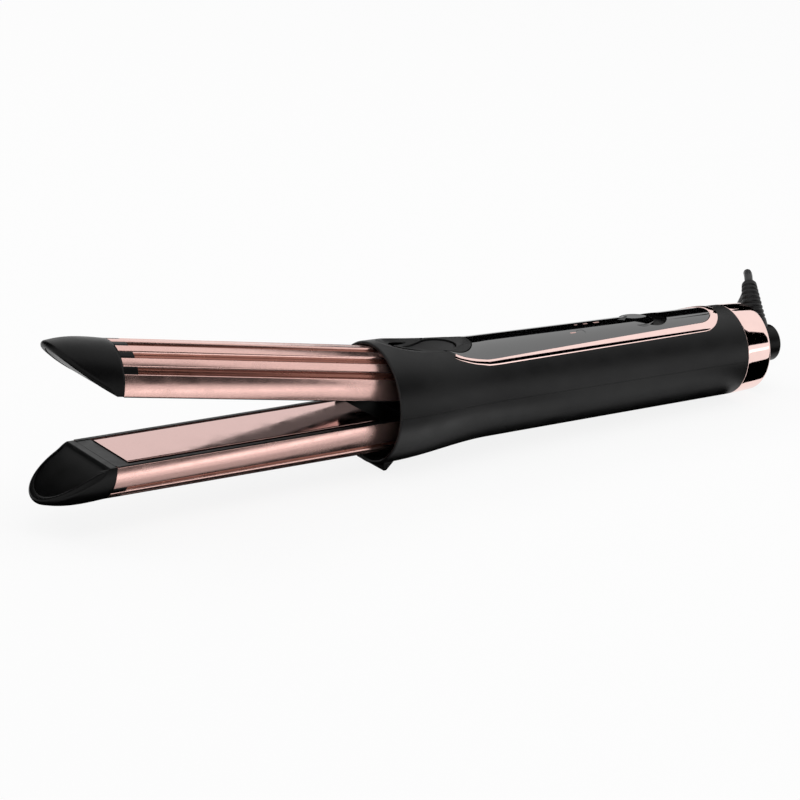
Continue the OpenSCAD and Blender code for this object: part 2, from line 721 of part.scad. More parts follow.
module upper_frame() {
    color(BLACK) upper_arm() difference() {
        union() {
            front_pad();
            along_x(shell_front + tip_spigot + seat, shell_rear) frame2d();
            along_x(shell_front + seat, shell_front + tip_spigot + seat) difference() {
                half_disc(frame_r, frame_top);
                translate([-frame_r, frame_top + 2 - seat]) square([2 * frame_r, frame_r]);
            }
            intersection() {
                along_x(lever_front - eps, lever_end) half_disc(frame_r - 0.2, frame_top);
                block([lever_front - eps, -20, 0], [lever_end, 20, lever_h]);
            }
            for (m = [0, 1]) mirror([0, m, 0]) {
                rod_y(lug_y[0], lug_y[1], lug_r);
                block([lever_end - eps, lug_y[0], frame_top], [0, lug_y[1], lug_r]);
            }
        }
        heater_pocket();
        block([plate_front - 0.3, -plate_w / 2 - 0.4, 0], [plate_front + plate_len + 0.3, plate_w / 2 + 0.4, plate_seat]);
        for (m = [0, 1]) mirror([0, m, 0]) {
            rod_y(lug_y[0] - 1, lug_y[1] + 1, bush_r);
            block([lever_front - 3, lead_y - 1, lead_z - 0.8], [lever_end + 1, lead_y + 1, lead_z + 0.8]);
        }
        translate([spring_x - pivot_x, 0, -1]) cylinder(h = lever_pocket + 1, r = lever_pocket_r);
    }
}

module lower_frame() {
    color(BLACK) lower_arm() difference() {
        union() {
            front_pad();
            along_x(shell_front + tip_spigot + seat, shell_rear) frame2d();
            along_x(shell_front + seat, shell_front + tip_spigot + seat) difference() {
                half_disc(frame_r, frame_top);
                translate([-frame_r, frame_top + 2 - seat]) square([2 * frame_r, frame_r]);
            }
            along_x(shell_rear - eps, tail_rear) difference() {
                half_disc(frame_r, frame_top);
                half_disc(frame_r - frame_wall - 1, pocket_depth + 2.5);
            }
            translate([frame_screw_x - pivot_x, 0, pocket_depth]) cylinder(h = frame_r - pocket_depth - 0.4, r = 3);
            for (m = [0, 1]) mirror([0, m, 0]) rod_y(ear_y[0], ear_y[1], lug_r);
        }
        heater_pocket();
        block([plate_front - 0.3, -plate_w / 2 - 0.4, 0], [plate_front + plate_len + 0.3, plate_w / 2 + 0.4, plate_seat]);
        rod_y(-20, 20, pin_d / 2 + 0.02);
        for (m = [0, 1]) mirror([0, m, 0]) {
            rod_y(lug_y[0] - 0.3, ear_y[0], lug_r + 0.5);
            block([shell_rear - 3, lead_y - 1, lead_z - 0.8], [tail_rear + 1, lead_y + 1, lead_z + 0.8]);
        }
        translate([spring_x - pivot_x, 0, -1]) cylinder(h = pocket_depth + 1, r = pocket_r);
        mirror([0, 0, 1]) rotate([0, set_down, 0]) translate([frame_screw_x - pivot_x, 0, -frame_r - 2])
            cylinder(h = 8, r = screw_r + 0.02);
    }
}

module upper_barrel() { color(ROSE) upper_arm() barrel_shell(rib_pitch); }
module lower_barrel() { color(ROSE) lower_arm() barrel_shell(low_rib_pitch); }
module upper_tip() { color(BLACK) upper_arm() arm_tip(rib_pitch); }
module lower_tip() { color(BLACK) lower_arm() arm_tip(low_rib_pitch); }
module upper_tip_inlay() { color(BLACK) upper_arm() tip_inlay(); }
module lower_tip_inlay() { color(BLACK) lower_arm() tip_inlay(); }
module upper_plate() { color(PLATE) upper_arm() heater_plate(); }
module lower_plate() { color(PLATE) lower_arm() heater_plate(); }
module upper_heater() { color(CERAMIC) upper_arm() ceramic_heater(); }
module lower_heater() { color(CERAMIC) lower_arm() ceramic_heater(); }
module upper_heater_clip() { color(STEEL) upper_arm() heater_clip(); }
module lower_heater_clip() { color(STEEL) lower_arm() heater_clip(); }

module hinge_pin() {
    color(STEEL) rest() translate([pivot_x, 0, -pivot_drop]) rod_y(-ear_y[1], ear_y[1], pin_d / 2);
}

module hinge_bushes() {
    color(BRASS) upper_arm() for (m = [0, 1]) mirror([0, m, 0]) difference() {
        rod_y(lug_y[0], lug_y[1], bush_r);
        rod_y(lug_y[0] - 1, lug_y[1] + 1, pin_d / 2 + run_fit);
    }
}

// Leads and a fuse of an arm
module arm_leads(rear) {
    for (m = [0, 1]) mirror([0, m, 0]) wire([
        [heater_front + heater_len + 9.5, 2.6, hollow_floor - 2],
        [heater_front + heater_len + 9.5, 2.6, lead_z],
        [heater_front + heater_len + 16, lead_y, lead_z], [rear, lead_y, lead_z]], lead_r);
}

module arm_fuse() {
    translate([0, 0, plate_seat + 1.55])
        rod_x(heater_front + heater_len + 0.8, heater_front + heater_len + 6.8, 1.5);
}

module upper_leads() { color(COPPER) upper_arm() arm_leads(lever_end - 0.5); }
module lower_leads() { color(COPPER) lower_arm() arm_leads(tail_rear - 0.5); }
module upper_fuse() { color(CERAMIC) upper_arm() arm_fuse(); }
module lower_fuse() { color(CERAMIC) lower_arm() arm_fuse(); }

module arm_spring() {
    n = spring_turns * 12;
    r = spring_r - spring_wire / 2;
    h = spring_high - spring_low - spring_wire;
    color(STEEL) rest() translate([spring_x, 0, spring_low + spring_wire / 2])
        sweep([for (i = [0 : n]) [r * cos(30 * i), r * sin(30 * i), h * i / n]],
            [for (i = [0 : n]) spring_wire / 2], 6);
}

module lip2d() {
    r = lip_wall / 2;
    translate([handle_r(0) - r, lip_front + r]) circle(r);
}

// One housing's wall: its profile turned about the handle's axis
module housing_wall() {
    xs = stations(lip_front + lip_wall / 2, handle_len);
    n = len(xs) - 1;
    rotate([0, 90, 0]) rotate_extrude() {
        polygon(concat([for (x = xs) [handle_r(x), x]],
            [for (i = [n : -1 : 0]) [handle_r(xs[i]) - wall_at(xs[i]), xs[i]]]));
        lip2d();
    }
}

module half_space(top) {
    if (top) block([-20, -40, half_gap / 2], [260, 40, 40]);
    else block([-20, -40, -40], [260, 40, -half_gap / 2]);
}

// A shape seen from above, carried through the upper half of the handle
module prism(z0 = 0.5, z1 = 40) {
    translate([0, 0, z0]) linear_extrude(z1 - z0) children();
}

module key2d(grow = 0) {
    translate([key_c, 0]) drop2d(key_r + grow, key_len - key_r + grow * 1.6);
}

module dish(sink = 0) {
    translate([key_c - 1, 0, dish_z + dish_r - sink]) rotate([90, 0, 0]) sphere(dish_r, $fn = 128);
}

module upper_housing() {
    color(BLACK) rest() difference() {
        union() {
            intersection() {
                housing_wall();
                half_space(true);
            }
            intersection() {
                handle_room(lip_front + 1, 60, -0.3);
                prism(well_z) key2d(3);
            }
            intersection() {
                handle_skin(100, 160, 0.5, recess_depth + recess_floor);
                prism() recess2d(2);
            }
            for (x = screw_x) intersection() {
                translate([x, 0, half_gap / 2]) cylinder(h = 20, r = boss_r);
                handle_room(60, handle_len, -0.3);
            }
        }
        dish();
        translate([pivot_x, 0, -pivot_drop]) rotate([0, open_up, 0])
            rod_x(-pivot_x - 12, shell_rear + 0.6, barrel_r + 0.2);
        prism(10) key2d(key_gap);
        intersection() {
            handle_skin(20, handle_len, -1, pocket_in);
            prism() difference() {
                trim_outline(seat);
                tongue2d();
            }
        }
        intersection() {
            handle_skin(100, 160, -1, recess_depth);
            prism() recess2d();
        }
        block([stem_x - stem_l / 2 - 0.4, -slot_w / 2, 10],
            [stem_x + stem_l / 2 + slider_travel + 0.4, slot_w / 2, 30]);
        for (x = screw_x) translate([x, 0, -1]) cylinder(h = 11, r = screw_r);
        rod_x(handle_len - spigot_in - seat, handle_len + 1, ring_d / 2 - wall + seat);
    }
}

module lower_housing() {
    floor_rise = tan(rest_tilt);
    color(BLACK) rest() difference() {
        union() {
            intersection() {
                union() {
                    housing_wall();
                    for (x = saddle_x) intersection() {
                        handle_skin(x - saddle_t / 2, x + saddle_t / 2, wall - 0.3, 12);
                        block([x - saddle_t, -40, -40], [x + saddle_t, 40, -8]);
                    }
                }
                half_space(false);
            }
            translate([0, foot_w / 2, 0]) rotate([90, 0, 0]) linear_extrude(foot_w) polygon([
                [foot_x, -foot_drop], [foot_x + foot_len, -foot_drop + foot_len * floor_rise],
                [foot_x + foot_len + 6, -foot_drop + 6], [foot_x + 6, -18], [foot_x, -18]]);
            intersection() {
                union() {
                    translate([frame_screw_x, 0, -25]) cylinder(h = 15, r = low_boss_r);
                    for (x = screw_x) translate([x, 0, -25]) cylinder(h = 25 - half_gap / 2, r = low_boss_r);
                    for (x = post_x) for (y = [-post_y, post_y]) {
                        translate([x, y, -25]) cylinder(h = 25 + board_z, r = 2.2);
                        translate([x, y, 0]) cylinder(h = board_top + 1, r = 1.2);
                    }
                }
                handle_room(10, handle_len, -0.3);
            }
        }
        intersection() {
            handle_room(lip_front - 1, 15);
            block([-10, -40, -40], [15, 40, 10]);
        }
        translate([pivot_x, 0, -pivot_drop]) rotate([0, -set_down, 0])
            rod_x(-pivot_x - 10, tail_rear + 2, frame_r + seat);
        for (x = screw_x) {
            translate([x, 0, -30]) cylinder(h = 40, r = screw_r + 0.15);
            translate([x, 0, -30]) cylinder(h = 30 + head_z, r = head_r + 0.2);
        }
        translate([frame_screw_x, 0, -30]) cylinder(h = 20, r = screw_r + 0.15);
        translate([frame_screw_x, 0, -30]) cylinder(h = 30 + frame_head_z, r = head_r + 0.2);
        rod_x(handle_len - spigot_in - seat, handle_len + 1, ring_d / 2 - wall + seat);
    }
}

module screw(top, head, bottom) {
    translate([0, 0, head]) cylinder(h = top - head, r = screw_r);
    difference() {
        translate([0, 0, bottom]) cylinder(h = head - bottom, r = head_r);
        translate([0, 0, bottom - 1]) cylinder(h = 2, r = 1.3, $fn = 6);
    }
}

module housing_screws() {
    color(STEEL) rest() {
        for (x = screw_x) translate([x, 0, 0]) screw(9, head_z, head_z - 2);
        translate([frame_screw_x, 0, 0])
            screw(4.85 - pivot_drop - frame_r, frame_head_z, frame_head_z - 1.5);
    }
}

module thumb_key() {
    color(BLACK) rest() difference() {
        union() {
            prism(key_low, 24) key2d();
            prism(key_low - 1, key_low + 0.2) key2d(key_flange);
            translate([leg_x, 0, leg_low + leg_r]) cylinder(h = key_low - leg_low - leg_r, r = leg_r);
            translate([leg_x, 0, leg_low + leg_r]) sphere(leg_r);
        }
        dish(key_sink);
    }
}

module control_panel() {
    color(GLOSS) rest() intersection() {
        handle_skin(20, handle_len, 0, panel_t);
        prism() difference() {
            panel_outline();
            tongue2d(tongue_gap);
            recess2d();
            lens2d(0.1);
        }
    }
}

module panel_trim() {
    color(ROSE) rest() intersection() {
        handle_skin(20, handle_len, -trim_proud, panel_t);
        prism() difference() {
            trim_outline();
            tongue2d(tongue_gap / 2);
            panel_outline();
        }
    }
}

module indicator_lens() {
    color(GLOSS) rest() intersection() {
        handle_skin(80, 110, 0.1, panel_t);
        prism() lens2d();
    }
}

module slider_knob() {
    color(BLACK) rest() difference() {
        union() {
            intersection() {
                handle_skin(100, 160, knob_top, recess_depth - 0.15);
                prism() intersection() {
                    recess2d(-knob_gap);
                    translate([recess_x + knob_len - knob_rear_r, 0]) circle(knob_rear_r);
                }
            }
            intersection() {
                block([stem_x - stem_l / 2, -slot_w / 2 + 0.2, stem_foot_z[0]], [stem_x + stem_l / 2, slot_w / 2 - 0.2, 20]);
                handle_room(100, 160, 0);
            }
            block([stem_x - 5, -4.5, stem_foot_z[0]], [stem_x + 5, 4.5, stem_foot_z[1]]);
            block([stem_x - 1.5, -1.3, stem_end_z], [stem_x + 1.5, 1.3, stem_foot_z[0] + 1]);
        }
        translate([knob_c - 1, 0, handle_r(knob_c) - knob_top + knob_dish_r - 0.9]) rotate([90, 0, 0]) sphere(knob_dish_r);
    }
}

module slide_switch() {
    color(BLACK) rest() difference() {
        block([switch_front, -5, board_top + seat], [switch_front + switch_l + slider_travel, 5, switch_z]);
        block([stem_x - 2, -1.6, stem_end_z - 0.4], [stem_x + 2 + slider_travel, 1.6, switch_z + 1]);
    }
}

module circuit_board() {
    color(BOARD) rest() difference() {
        block([board_x[0], -board_w / 2, board_z + seat], [board_x[1], board_w / 2, board_top]);
        for (x = post_x) for (y = [-post_y, post_y]) translate([x, y, 0]) cylinder(h = 10, r = 1.3);
    }
}

module power_triac() {
    color(BLACK) rest() {
        block([triac_x, -5, board_top + seat], [triac_x + triac_l, 5, board_top + 4.6]);
        block([triac_x + triac_l, -5, board_top + seat], [triac_x + triac_l + triac_tab, 5, board_top + 1.3]);
    }
}

module mains_capacitor() {
    color(COPPER) rest() block([capacitor_x, -4, board_top + seat], [capacitor_x + capacitor_l, 4, board_top + 8]);
}

module terminal_block() {
    color(BOARD) rest() difference() {
        block([terminal_x, -7.5, board_top + seat], [terminal_x + terminal_l, 7.5, board_top + 6]);
        for (y = [-4.5, 4.5]) {
            translate([0, y, board_top + 2.6]) rod_x(terminal_x + 2, terminal_x + terminal_l + 1, 1.2);
            translate([terminal_x + 2.5, y, board_top + 3]) cylinder(h = 5, r = 1.4);
        }
    }
}

module board_leads() {
    low = 5.9 - cap_r;
    route = [[terminal_x + 3.2, 4.5, board_top + 2.6], [terminal_x + 8, 4.7, board_top + 2.6],
        [terminal_x + 13, 6.6, board_top + 2], [handle_len - 14.5, 8.8, board_top - 1.6],
        [handle_len - 10.5, 9.2, -0.5], [handle_len - 8, 8, low + 5], [handle_len - 6.6, 5.2, low + 1.2],
        [cap_inner - 11.3, 3.2, low], [cap_inner - 9.1, 3.2, low]];
    color(COPPER) rest() for (m = [0, 1]) mirror([0, m, 0]) sweep(route, [for (p = route) 0.9], 6);
}

module end_ring() {
    color(ROSE) rest() rotate([0, 90, 0]) rotate_extrude() polygon([
        [ring_d / 2 - wall - 1.8, handle_len - spigot_in], [ring_d / 2 - wall, handle_len - spigot_in],
        [ring_d / 2 - wall, handle_len + seat], [ring_d / 2 - 0.3, handle_len + seat],
        [ring_d / 2 - 0.05, handle_len + 0.3], [ring_rear_r, handle_len + ring_len - 1.6],
        [ring_rear_r - 0.5, handle_len + ring_len - 0.5], [ring_rear_r - 1.4, handle_len + ring_len],
        [cap_r + seat, handle_len + ring_len], [cap_r + seat, cap_inner], [cap_r - 1.7, cap_inner]]);
}

module rear_cap() {
    color(BLACK) rest() difference() {
        union() {
            rotate([0, 90, 0]) rotate_extrude() polygon([
                [shaft_r + run_fit, cap_inner], [8.2, cap_inner], [8.2, cap_front], [cap_r - 2, cap_front],
                [cap_r - 2, cap_inner], [cap_r, cap_inner], [cap_r, cap_rear], [shaft_r + run_fit, cap_rear]]);
            block([cap_inner - 9, -5, 3.1 - cap_r], [cap_front + 0.2, 5, -8.4]);
        }
        for (x = contact_x) block([x - 0.6, -2.1, 4.3 - cap_r], [x + 0.6, 2.1, -8]);
    }
}

module contact_brushes() {
    color(BRASS) rest() for (x = contact_x) block([x - 0.5, -2, 4.4 - cap_r], [x + 0.5, 2, -contact_r - 0.1]);
}

module swivel_hub() {
    color(BLACK) rest() difference() {
        rotate([0, 90, 0]) rotate_extrude() polygon([
            [2.2, shaft_front], [shaft_r, shaft_front], [shaft_r, clip_x - 0.05], [shaft_r - 0.8, clip_x - 0.05],
            [shaft_r - 0.8, clip_x + clip_t + 0.05], [shaft_r, clip_x + clip_t + 0.05],
            [shaft_r, cap_rear + 0.15], [6.5, cap_rear + 0.15], [6.5, hub_front],
            [hub_r - 0.6, hub_front], [hub_r, hub_front + 0.6], [hub_r, hub_rear - 1.4],
            [hub_r - 0.4, hub_rear - 0.4], [hub_r - 1.4, hub_rear], [0, hub_rear], [0, hub_mid], [2.2, hub_mid]]);
        translate([hub_mid, 0, 0]) rotate([-relief_lean, 0, 0]) translate([0, 0, 3]) cylinder(h = 10, r = relief_root + seat);
    }
}

module swivel_clip() {
    color(STEEL) rest() difference() {
        rod_x(clip_x, clip_x + clip_t, shaft_r + 2);
        rod_x(clip_x - 1, clip_x + clip_t + 1, shaft_r - 0.75);
        block([clip_x - 1, -2.5, 0], [clip_x + clip_t + 1, 2.5, 10]);
    }
}

module contact_rings() {
    color(BRASS) rest() for (x = contact_x) difference() {
        rod_x(x - contact_w / 2, x + contact_w / 2, contact_r);
        rod_x(x - contact_w, x + contact_w, shaft_r + 0.02);
    }
}

module strain_relief() {
    n = len(relief_route);
    color(BLACK) rest() sweep(relief_route,
        [for (i = [0 : n - 1]) relief_root + (relief_tip - relief_root) * max(0, i - 1) / (n - 2)],
        relief_sides, [1, 0, 0]);
}

module cord_run() {
    color(BLACK) sweep(run_route, [for (p = run_route) cord_r], cord_sides, [0, 0, 1], 22.5);
}

module cord_hank() {
    color(BLACK) sweep(hank_route, [for (p = hank_route) cord_r], hank_sides, [0, 0, 1], 30);
}

module cord_tail() {
    color(BLACK) sweep(tail_route, [for (p = tail_route) cord_r], cord_sides, [0, 0, 1], 22.5);
}

module cord_tie() {
    far = hank_point(run_u / 2)[1] + cord_r + 0.15;
    near = hank_point(2 * hank_loops - fold_u - run_u / 2)[1] - cord_r - 0.15;
    top = cord_r * 2 + hank_lift + layer_rise + 0.1;
    color(GLOSS) difference() {
        union() {
            along_x(hank_mid[0] - tie_w / 2, hank_mid[0] + tie_w / 2)
                translate([near - tie_t, 0]) square([far - near + 2 * tie_t, top + tie_t]);
            block([hank_mid[0] - tie_w / 2, near + 4, top], [hank_mid[0] + tie_w / 2, near + 17, top + 2 * tie_t]);
        }
        block([hank_mid[0] - tie_w, near, tie_t], [hank_mid[0] + tie_w, far, top]);
    }
}

module plug_body() {
    x0 = plug_at[0];
    x1 = x0 + plug_neck_l;
    x2 = x1 + plug_body_l;
    w = plug_wide / 2;
    h = plug_thick / 2;
    c = 3.5;
    color(BLACK) difference() {
        intersection() {
            linear_extrude(plug_thick) translate([0, plug_at[1]]) polygon([
                [x0, -3.4], [x1 - 2, -5], [x1 + 5, -w + 2], [x1 + 9, -w], [x2 - 1, -w], [x2, -w + 1],
                [x2, w - 1], [x2 - 1, w], [x1 + 9, w], [x1 + 5, w - 2], [x1 - 2, 5], [x0, 3.4]]);
            translate([0, plug_at[1] + 30, 0]) rotate([90, 0, 0]) linear_extrude(60) polygon([
                [x0, h - 3.4], [x1 - 2, h - 4.4], [x1 + 7, 0], [x2, 0], [x2, 2 * h], [x1 + 7, 2 * h],
                [x1 - 2, h + 4.4], [x0, h + 3.4]]);
            along_x(x0 - 1, x2 + 1) translate([plug_at[1], h]) polygon([
                [-w, -h + c], [-w + c, -h], [w - c, -h], [w, -h + c], [w, h - c], [w - c, h], [-w + c, h], [-w, h - c]]);
        }
        for (y = [-1, 1]) translate([0, plug_at[1] + y * plug_pin_pitch / 2, h]) rod_x(x2 - 8, x2 + 1, plug_shank_r + 0.02);
    }
}

module plug_pins() {
    x2 = plug_at[0] + plug_neck_l + plug_body_l;
    color(BRASS) for (y = [-1, 1]) translate([0, plug_at[1] + y * plug_pin_pitch / 2, plug_thick / 2]) {
        rod_x(x2 - 7.9, x2 + plug_shoulder + 0.5, plug_shank_r);
        rod_x(x2 + plug_shoulder, x2 + plug_pin_len - plug_pin_r, plug_pin_r);
        translate([x2 + plug_pin_len - plug_pin_r, 0, 0]) sphere(plug_pin_r);
    }
}

upper_housing();
lower_housing();
thumb_key();
control_panel();
panel_trim();
indicator_lens();
slider_knob();
end_ring();
rear_cap();
swivel_hub();
swivel_clip();
contact_rings();
contact_brushes();
strain_relief();
cord_run();
cord_hank();
cord_tail();
cord_tie();
plug_body();
plug_pins();
hinge_pin();
hinge_bushes();
arm_spring();
housing_screws();
circuit_board();
slide_switch();
power_triac();
mains_capacitor();
terminal_block();
board_leads();
lower_frame();
lower_barrel();
lower_tip();
lower_tip_inlay();
lower_plate();
lower_heater();
lower_heater_clip();
lower_fuse();
lower_leads();
upper_frame();
upper_barrel();
upper_tip();
upper_tip_inlay();
upper_plate();
upper_heater();
upper_heater_clip();
upper_fuse();
upper_leads();
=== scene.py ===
"""A hand-held styler with two clamping half-round arms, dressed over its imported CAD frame.

Everything is in metres in the CAD's own frame. Sizes that repeat the CAD's are in
millimetres, as it has them, and Stance carries points of the handle's and the arms'
own frames into the shared one.
"""

import logging
import math
from dataclasses import dataclass
from enum import Enum
from typing import ClassVar

import bmesh
import bpy
import numpy as np
from mathutils import Matrix


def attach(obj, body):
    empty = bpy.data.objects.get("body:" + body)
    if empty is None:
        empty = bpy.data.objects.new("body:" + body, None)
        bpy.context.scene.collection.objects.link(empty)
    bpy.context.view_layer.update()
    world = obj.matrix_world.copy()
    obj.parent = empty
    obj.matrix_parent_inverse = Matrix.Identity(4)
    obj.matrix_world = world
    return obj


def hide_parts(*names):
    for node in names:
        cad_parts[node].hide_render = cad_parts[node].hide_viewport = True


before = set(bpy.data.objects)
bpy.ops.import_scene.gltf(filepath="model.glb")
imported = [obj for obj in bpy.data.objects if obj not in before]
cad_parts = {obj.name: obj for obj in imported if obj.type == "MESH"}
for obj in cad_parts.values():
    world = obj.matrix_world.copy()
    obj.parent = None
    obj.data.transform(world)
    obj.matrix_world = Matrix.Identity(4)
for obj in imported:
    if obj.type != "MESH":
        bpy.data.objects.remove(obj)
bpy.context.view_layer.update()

LOG = logging.getLogger("styler")
MM = 0.001
Points = np.ndarray
Faces = list[tuple[int, ...]]
Shape = tuple[Points, Faces]
Pair = tuple[float, float]
Triple = tuple[float, float, float]
Tree = bpy.types.NodeTree
Socket = bpy.types.NodeSocket


class Body(Enum):
    """The rigid bodies of the frame that a piece can ride on."""

    HOUSING = "housing"
    UPPER_ARM = "upper_arm"
    THUMB_KEY = "thumb_key"
    SLIDER = "slider"
    SWIVEL = "swivel"


class Side(Enum):
    """Which of the two arms a piece belongs to."""

    UPPER = "upper"
    LOWER = "lower"


# ------------------------------------------------------------------ finishes


def wired(tree: Tree, made: bpy.types.Node, inputs: dict[str | int, object]) -> bpy.types.Node:
    """Sets a node's inputs to values, or links them where they are sockets."""
    for key, value in inputs.items():
        if isinstance(value, Socket):
            tree.links.new(value, made.inputs[key])
        else:
            made.inputs[key].default_value = value
    return made


def node(tree: Tree, kind: str, inputs: dict[str | int, object] | None = None) -> bpy.types.Node:
    """Adds a node of a kind, its inputs set or linked."""
    return wired(tree, tree.nodes.new(kind), inputs or {})


@dataclass(frozen=True)
class Finish:
    """A moulded, cast or cut surface: an even colour with a fine grain in it.

    grain_mm and grain_depth_mm are the width and depth of the grain, tone_mm the
    width of the broad cloudy changes of colour and gloss, and tone and gloss_spread
    how strong these are.
    """

    name: str
    colour: Triple
    rough: float
    metal: float = 0.0
    grain_mm: float = 0.4
    grain_depth_mm: float = 0.01
    tone_mm: float = 9.0
    tone: float = 0.08
    gloss_spread: float = 0.06
    specular: float = 0.5
    ior: float = 1.5
    stretch: Triple = (1.0, 1.0, 1.0)

    def material(self) -> bpy.types.Material:
        """Gives the finish's material, made on first use."""
        name = f"{self.name}_finish"
        made = bpy.data.materials.get(name)
        if made is None:
            made = bpy.data.materials.new(name)
            made.use_nodes = True
            self.shade(made.node_tree, made.node_tree.nodes["Principled BSDF"])
        return made

    def shade(self, tree: Tree, shader: bpy.types.Node) -> None:
        """Builds the nodes: grain as bump, and cloudy colour and roughness.

        Args:
            tree: The material's node tree.
            shader: Its Principled BSDF.
        """
        place = self.place(tree)
        clouds = self.noise(tree, place, self.tone_mm, 3.0)
        low, high = max(0.02, self.rough - self.gloss_spread), self.rough + self.gloss_spread
        gloss = node(tree, "ShaderNodeMapRange",
                     {"Value": clouds, "From Min": 0.3, "From Max": 0.7, "To Min": low, "To Max": high})
        bump = node(tree, "ShaderNodeBump", {"Height": self.noise(tree, place, self.grain_mm, 2.0),
                                             "Distance": self.grain_depth_mm * MM, "Strength": 1.0})
        wired(tree, shader, {
            "Metallic": self.metal, "Specular IOR Level": self.specular, "IOR": self.ior,
            "Base Color": self.ramp(tree, clouds, *self.toned(self.tone)),
            "Roughness": gloss.outputs["Result"], "Normal": bump.outputs["Normal"]})

    def toned(self, share: float) -> tuple[Triple, Triple]:
        """The colour darker and lighter by a share."""
        return tuple(tuple(min(1.0, c * k) for c in self.colour) for k in (1 - share, 1 + share))

    def place(self, tree: Tree) -> Socket:
        """Object coordinates, drawn out along the axes that the finish is drawn out along."""
        source = node(tree, "ShaderNodeTexCoord").outputs["Object"]
        return node(tree, "ShaderNodeMapping", {"Scale": self.stretch, "Vector": source}).outputs["Vector"]

    def noise(self, tree: Tree, place: Socket, width_mm: float, detail: float) -> Socket:
        """Noise whose features are about width_mm across."""
        inputs = {"Scale": 1.0 / (width_mm * MM), "Detail": detail, "Vector": place}
        return node(tree, "ShaderNodeTexNoise", inputs).outputs["Fac"]

    def ramp(self, tree: Tree, fac: Socket, low: Triple, high: Triple, span: Pair = (0.35, 0.65)) -> Socket:
        """A colour that runs from low to high as fac goes over span."""
        made = node(tree, "ShaderNodeValToRGB", {"Fac": fac})
        for stop, at, colour in zip(made.color_ramp.elements, span, (low, high)):
            stop.position, stop.color = at, (*colour, 1.0)
        return made.outputs["Color"]


@dataclass(frozen=True)
class PearlCoat(Finish):
    """A metal shell under a pearl lacquer, whose small flakes catch the light one by one."""

    flake_mm: float = 0.16
    flake: float = 0.10

    def shade(self, tree: Tree, shader: bpy.types.Node) -> None:
        """Adds flakes, cells of slightly differing colour, to the plain finish.

        Args:
            tree: The material's node tree.
            shader: Its Principled BSDF.
        """
        super().shade(tree, shader)
        scale = 1.0 / (self.flake_mm * MM)
        cells = node(tree, "ShaderNodeTexVoronoi", {"Scale": scale, "Vector": self.place(tree)})
        grey = node(tree, "ShaderNodeSeparateColor", {"Color": cells.outputs["Color"]})
        colour = self.ramp(tree, grey.outputs["Red"], *self.toned(self.flake), (0.0, 1.0))
        wired(tree, shader, {"Base Color": colour})


@dataclass(frozen=True)
class Etched(Finish):
    """A board: its colour broken by the paler lines of tracks under the lacquer."""

    track_mm: float = 3.0
    track: Triple = (0.08, 0.30, 0.16)

    def shade(self, tree: Tree, shader: bpy.types.Node) -> None:
        """Adds tracks where the bands of a bent wave are at their highest.

        Args:
            tree: The material's node tree.
            shader: Its Principled BSDF.
        """
        super().shade(tree, shader)
        bands = node(tree, "ShaderNodeTexWave", {"Scale": 1.0 / (self.track_mm * MM) / 3.2, "Distortion": 2.0,
                                                 "Vector": self.place(tree)})
        bands.bands_direction = "Y"
        colour = self.ramp(tree, bands.outputs["Fac"], self.colour, self.track, (0.86, 0.9))
        wired(tree, shader, {"Base Color": colour})


SOFT_BLACK = Finish("soft_touch_black", (0.004, 0.004, 0.0042), 0.44, grain_mm=0.35, specular=0.30)
SATIN_BLACK = Finish("satin_black", (0.002, 0.002, 0.0021), 0.36, grain_mm=0.25, grain_depth_mm=0.006, specular=0.14)
GLOSS_BLACK = Finish("gloss_black", (0.002, 0.002, 0.0022), 0.05, grain_mm=3.0, grain_depth_mm=0.001,
                     gloss_spread=0.02, specular=0.9, ior=1.8)
ROSE_SHELL = PearlCoat("rose_shell", (0.78, 0.49, 0.44), 0.23, 0.95, 0.3, 0.0004, tone=0.04)
# Darker rose for the groove floors: painted shade in the grooves, not a finish of their own.
PAINTED_GROOVE_SHADE = PearlCoat("rose_groove_painted_shade", (0.30, 0.12, 0.09), 0.30, 0.9, 0.3, 0.001, tone=0.04)
ROSE_PLATE = PearlCoat("rose_plate", (0.67, 0.425, 0.39), 0.10, 1.0, 0.4, 0.002, tone=0.04, flake=0.05)
ROSE_CHROME = Finish("rose_chrome", (0.96, 0.70, 0.65), 0.05, 1.0, 2.0, 0.001, tone=0.03, gloss_spread=0.02)
MARK_INK = Finish("mark_ink", (0.62, 0.40, 0.36), 0.4, grain_mm=0.2, grain_depth_mm=0.004)
STEEL = Finish("steel", (0.55, 0.56, 0.58), 0.28, 1.0, 0.3, 0.003, stretch=(0.2, 1.0, 1.0))
BRASS = Finish("brass", (0.72, 0.50, 0.22), 0.26, 1.0, 0.3, 0.003)
CERAMIC = Finish("ceramic", (0.74, 0.72, 0.66), 0.6, grain_mm=0.2, grain_depth_mm=0.02)
BOARD = Etched("board", (0.02, 0.14, 0.07), 0.35, grain_mm=0.5)
BOARD_PARTS = Finish("board_parts", (0.03, 0.11, 0.26), 0.45)
CAPACITOR = Finish("capacitor_case", (0.50, 0.33, 0.06), 0.45, grain_mm=0.6, grain_depth_mm=0.02)
LEAD_SLEEVE = Finish("lead_sleeve", (0.50, 0.03, 0.02), 0.5, grain_mm=0.3, grain_depth_mm=0.02)
CORD_BLACK = Finish("cord_jacket", (0.018, 0.018, 0.019), 0.46, grain_mm=0.5, grain_depth_mm=0.02)
PLUG_BLACK = Finish("plug_plastic", (0.022, 0.022, 0.023), 0.42, grain_mm=0.5, grain_depth_mm=0.015)
PIN_METAL = Finish("plug_pin", (0.62, 0.60, 0.56), 0.22, 1.0, 0.4, 0.002)


# ------------------------------------------------------------- lines and curves


def smooth(t: np.ndarray) -> np.ndarray:
    """0 below 0, 1 above 1, and an even S curve between."""
    t = np.clip(t, 0, 1)
    return t * t * (3 - 2 * t)


def unit(v: Points) -> Points:
    """Vectors drawn to length 1."""
    return v / np.linalg.norm(v, axis=-1, keepdims=True)


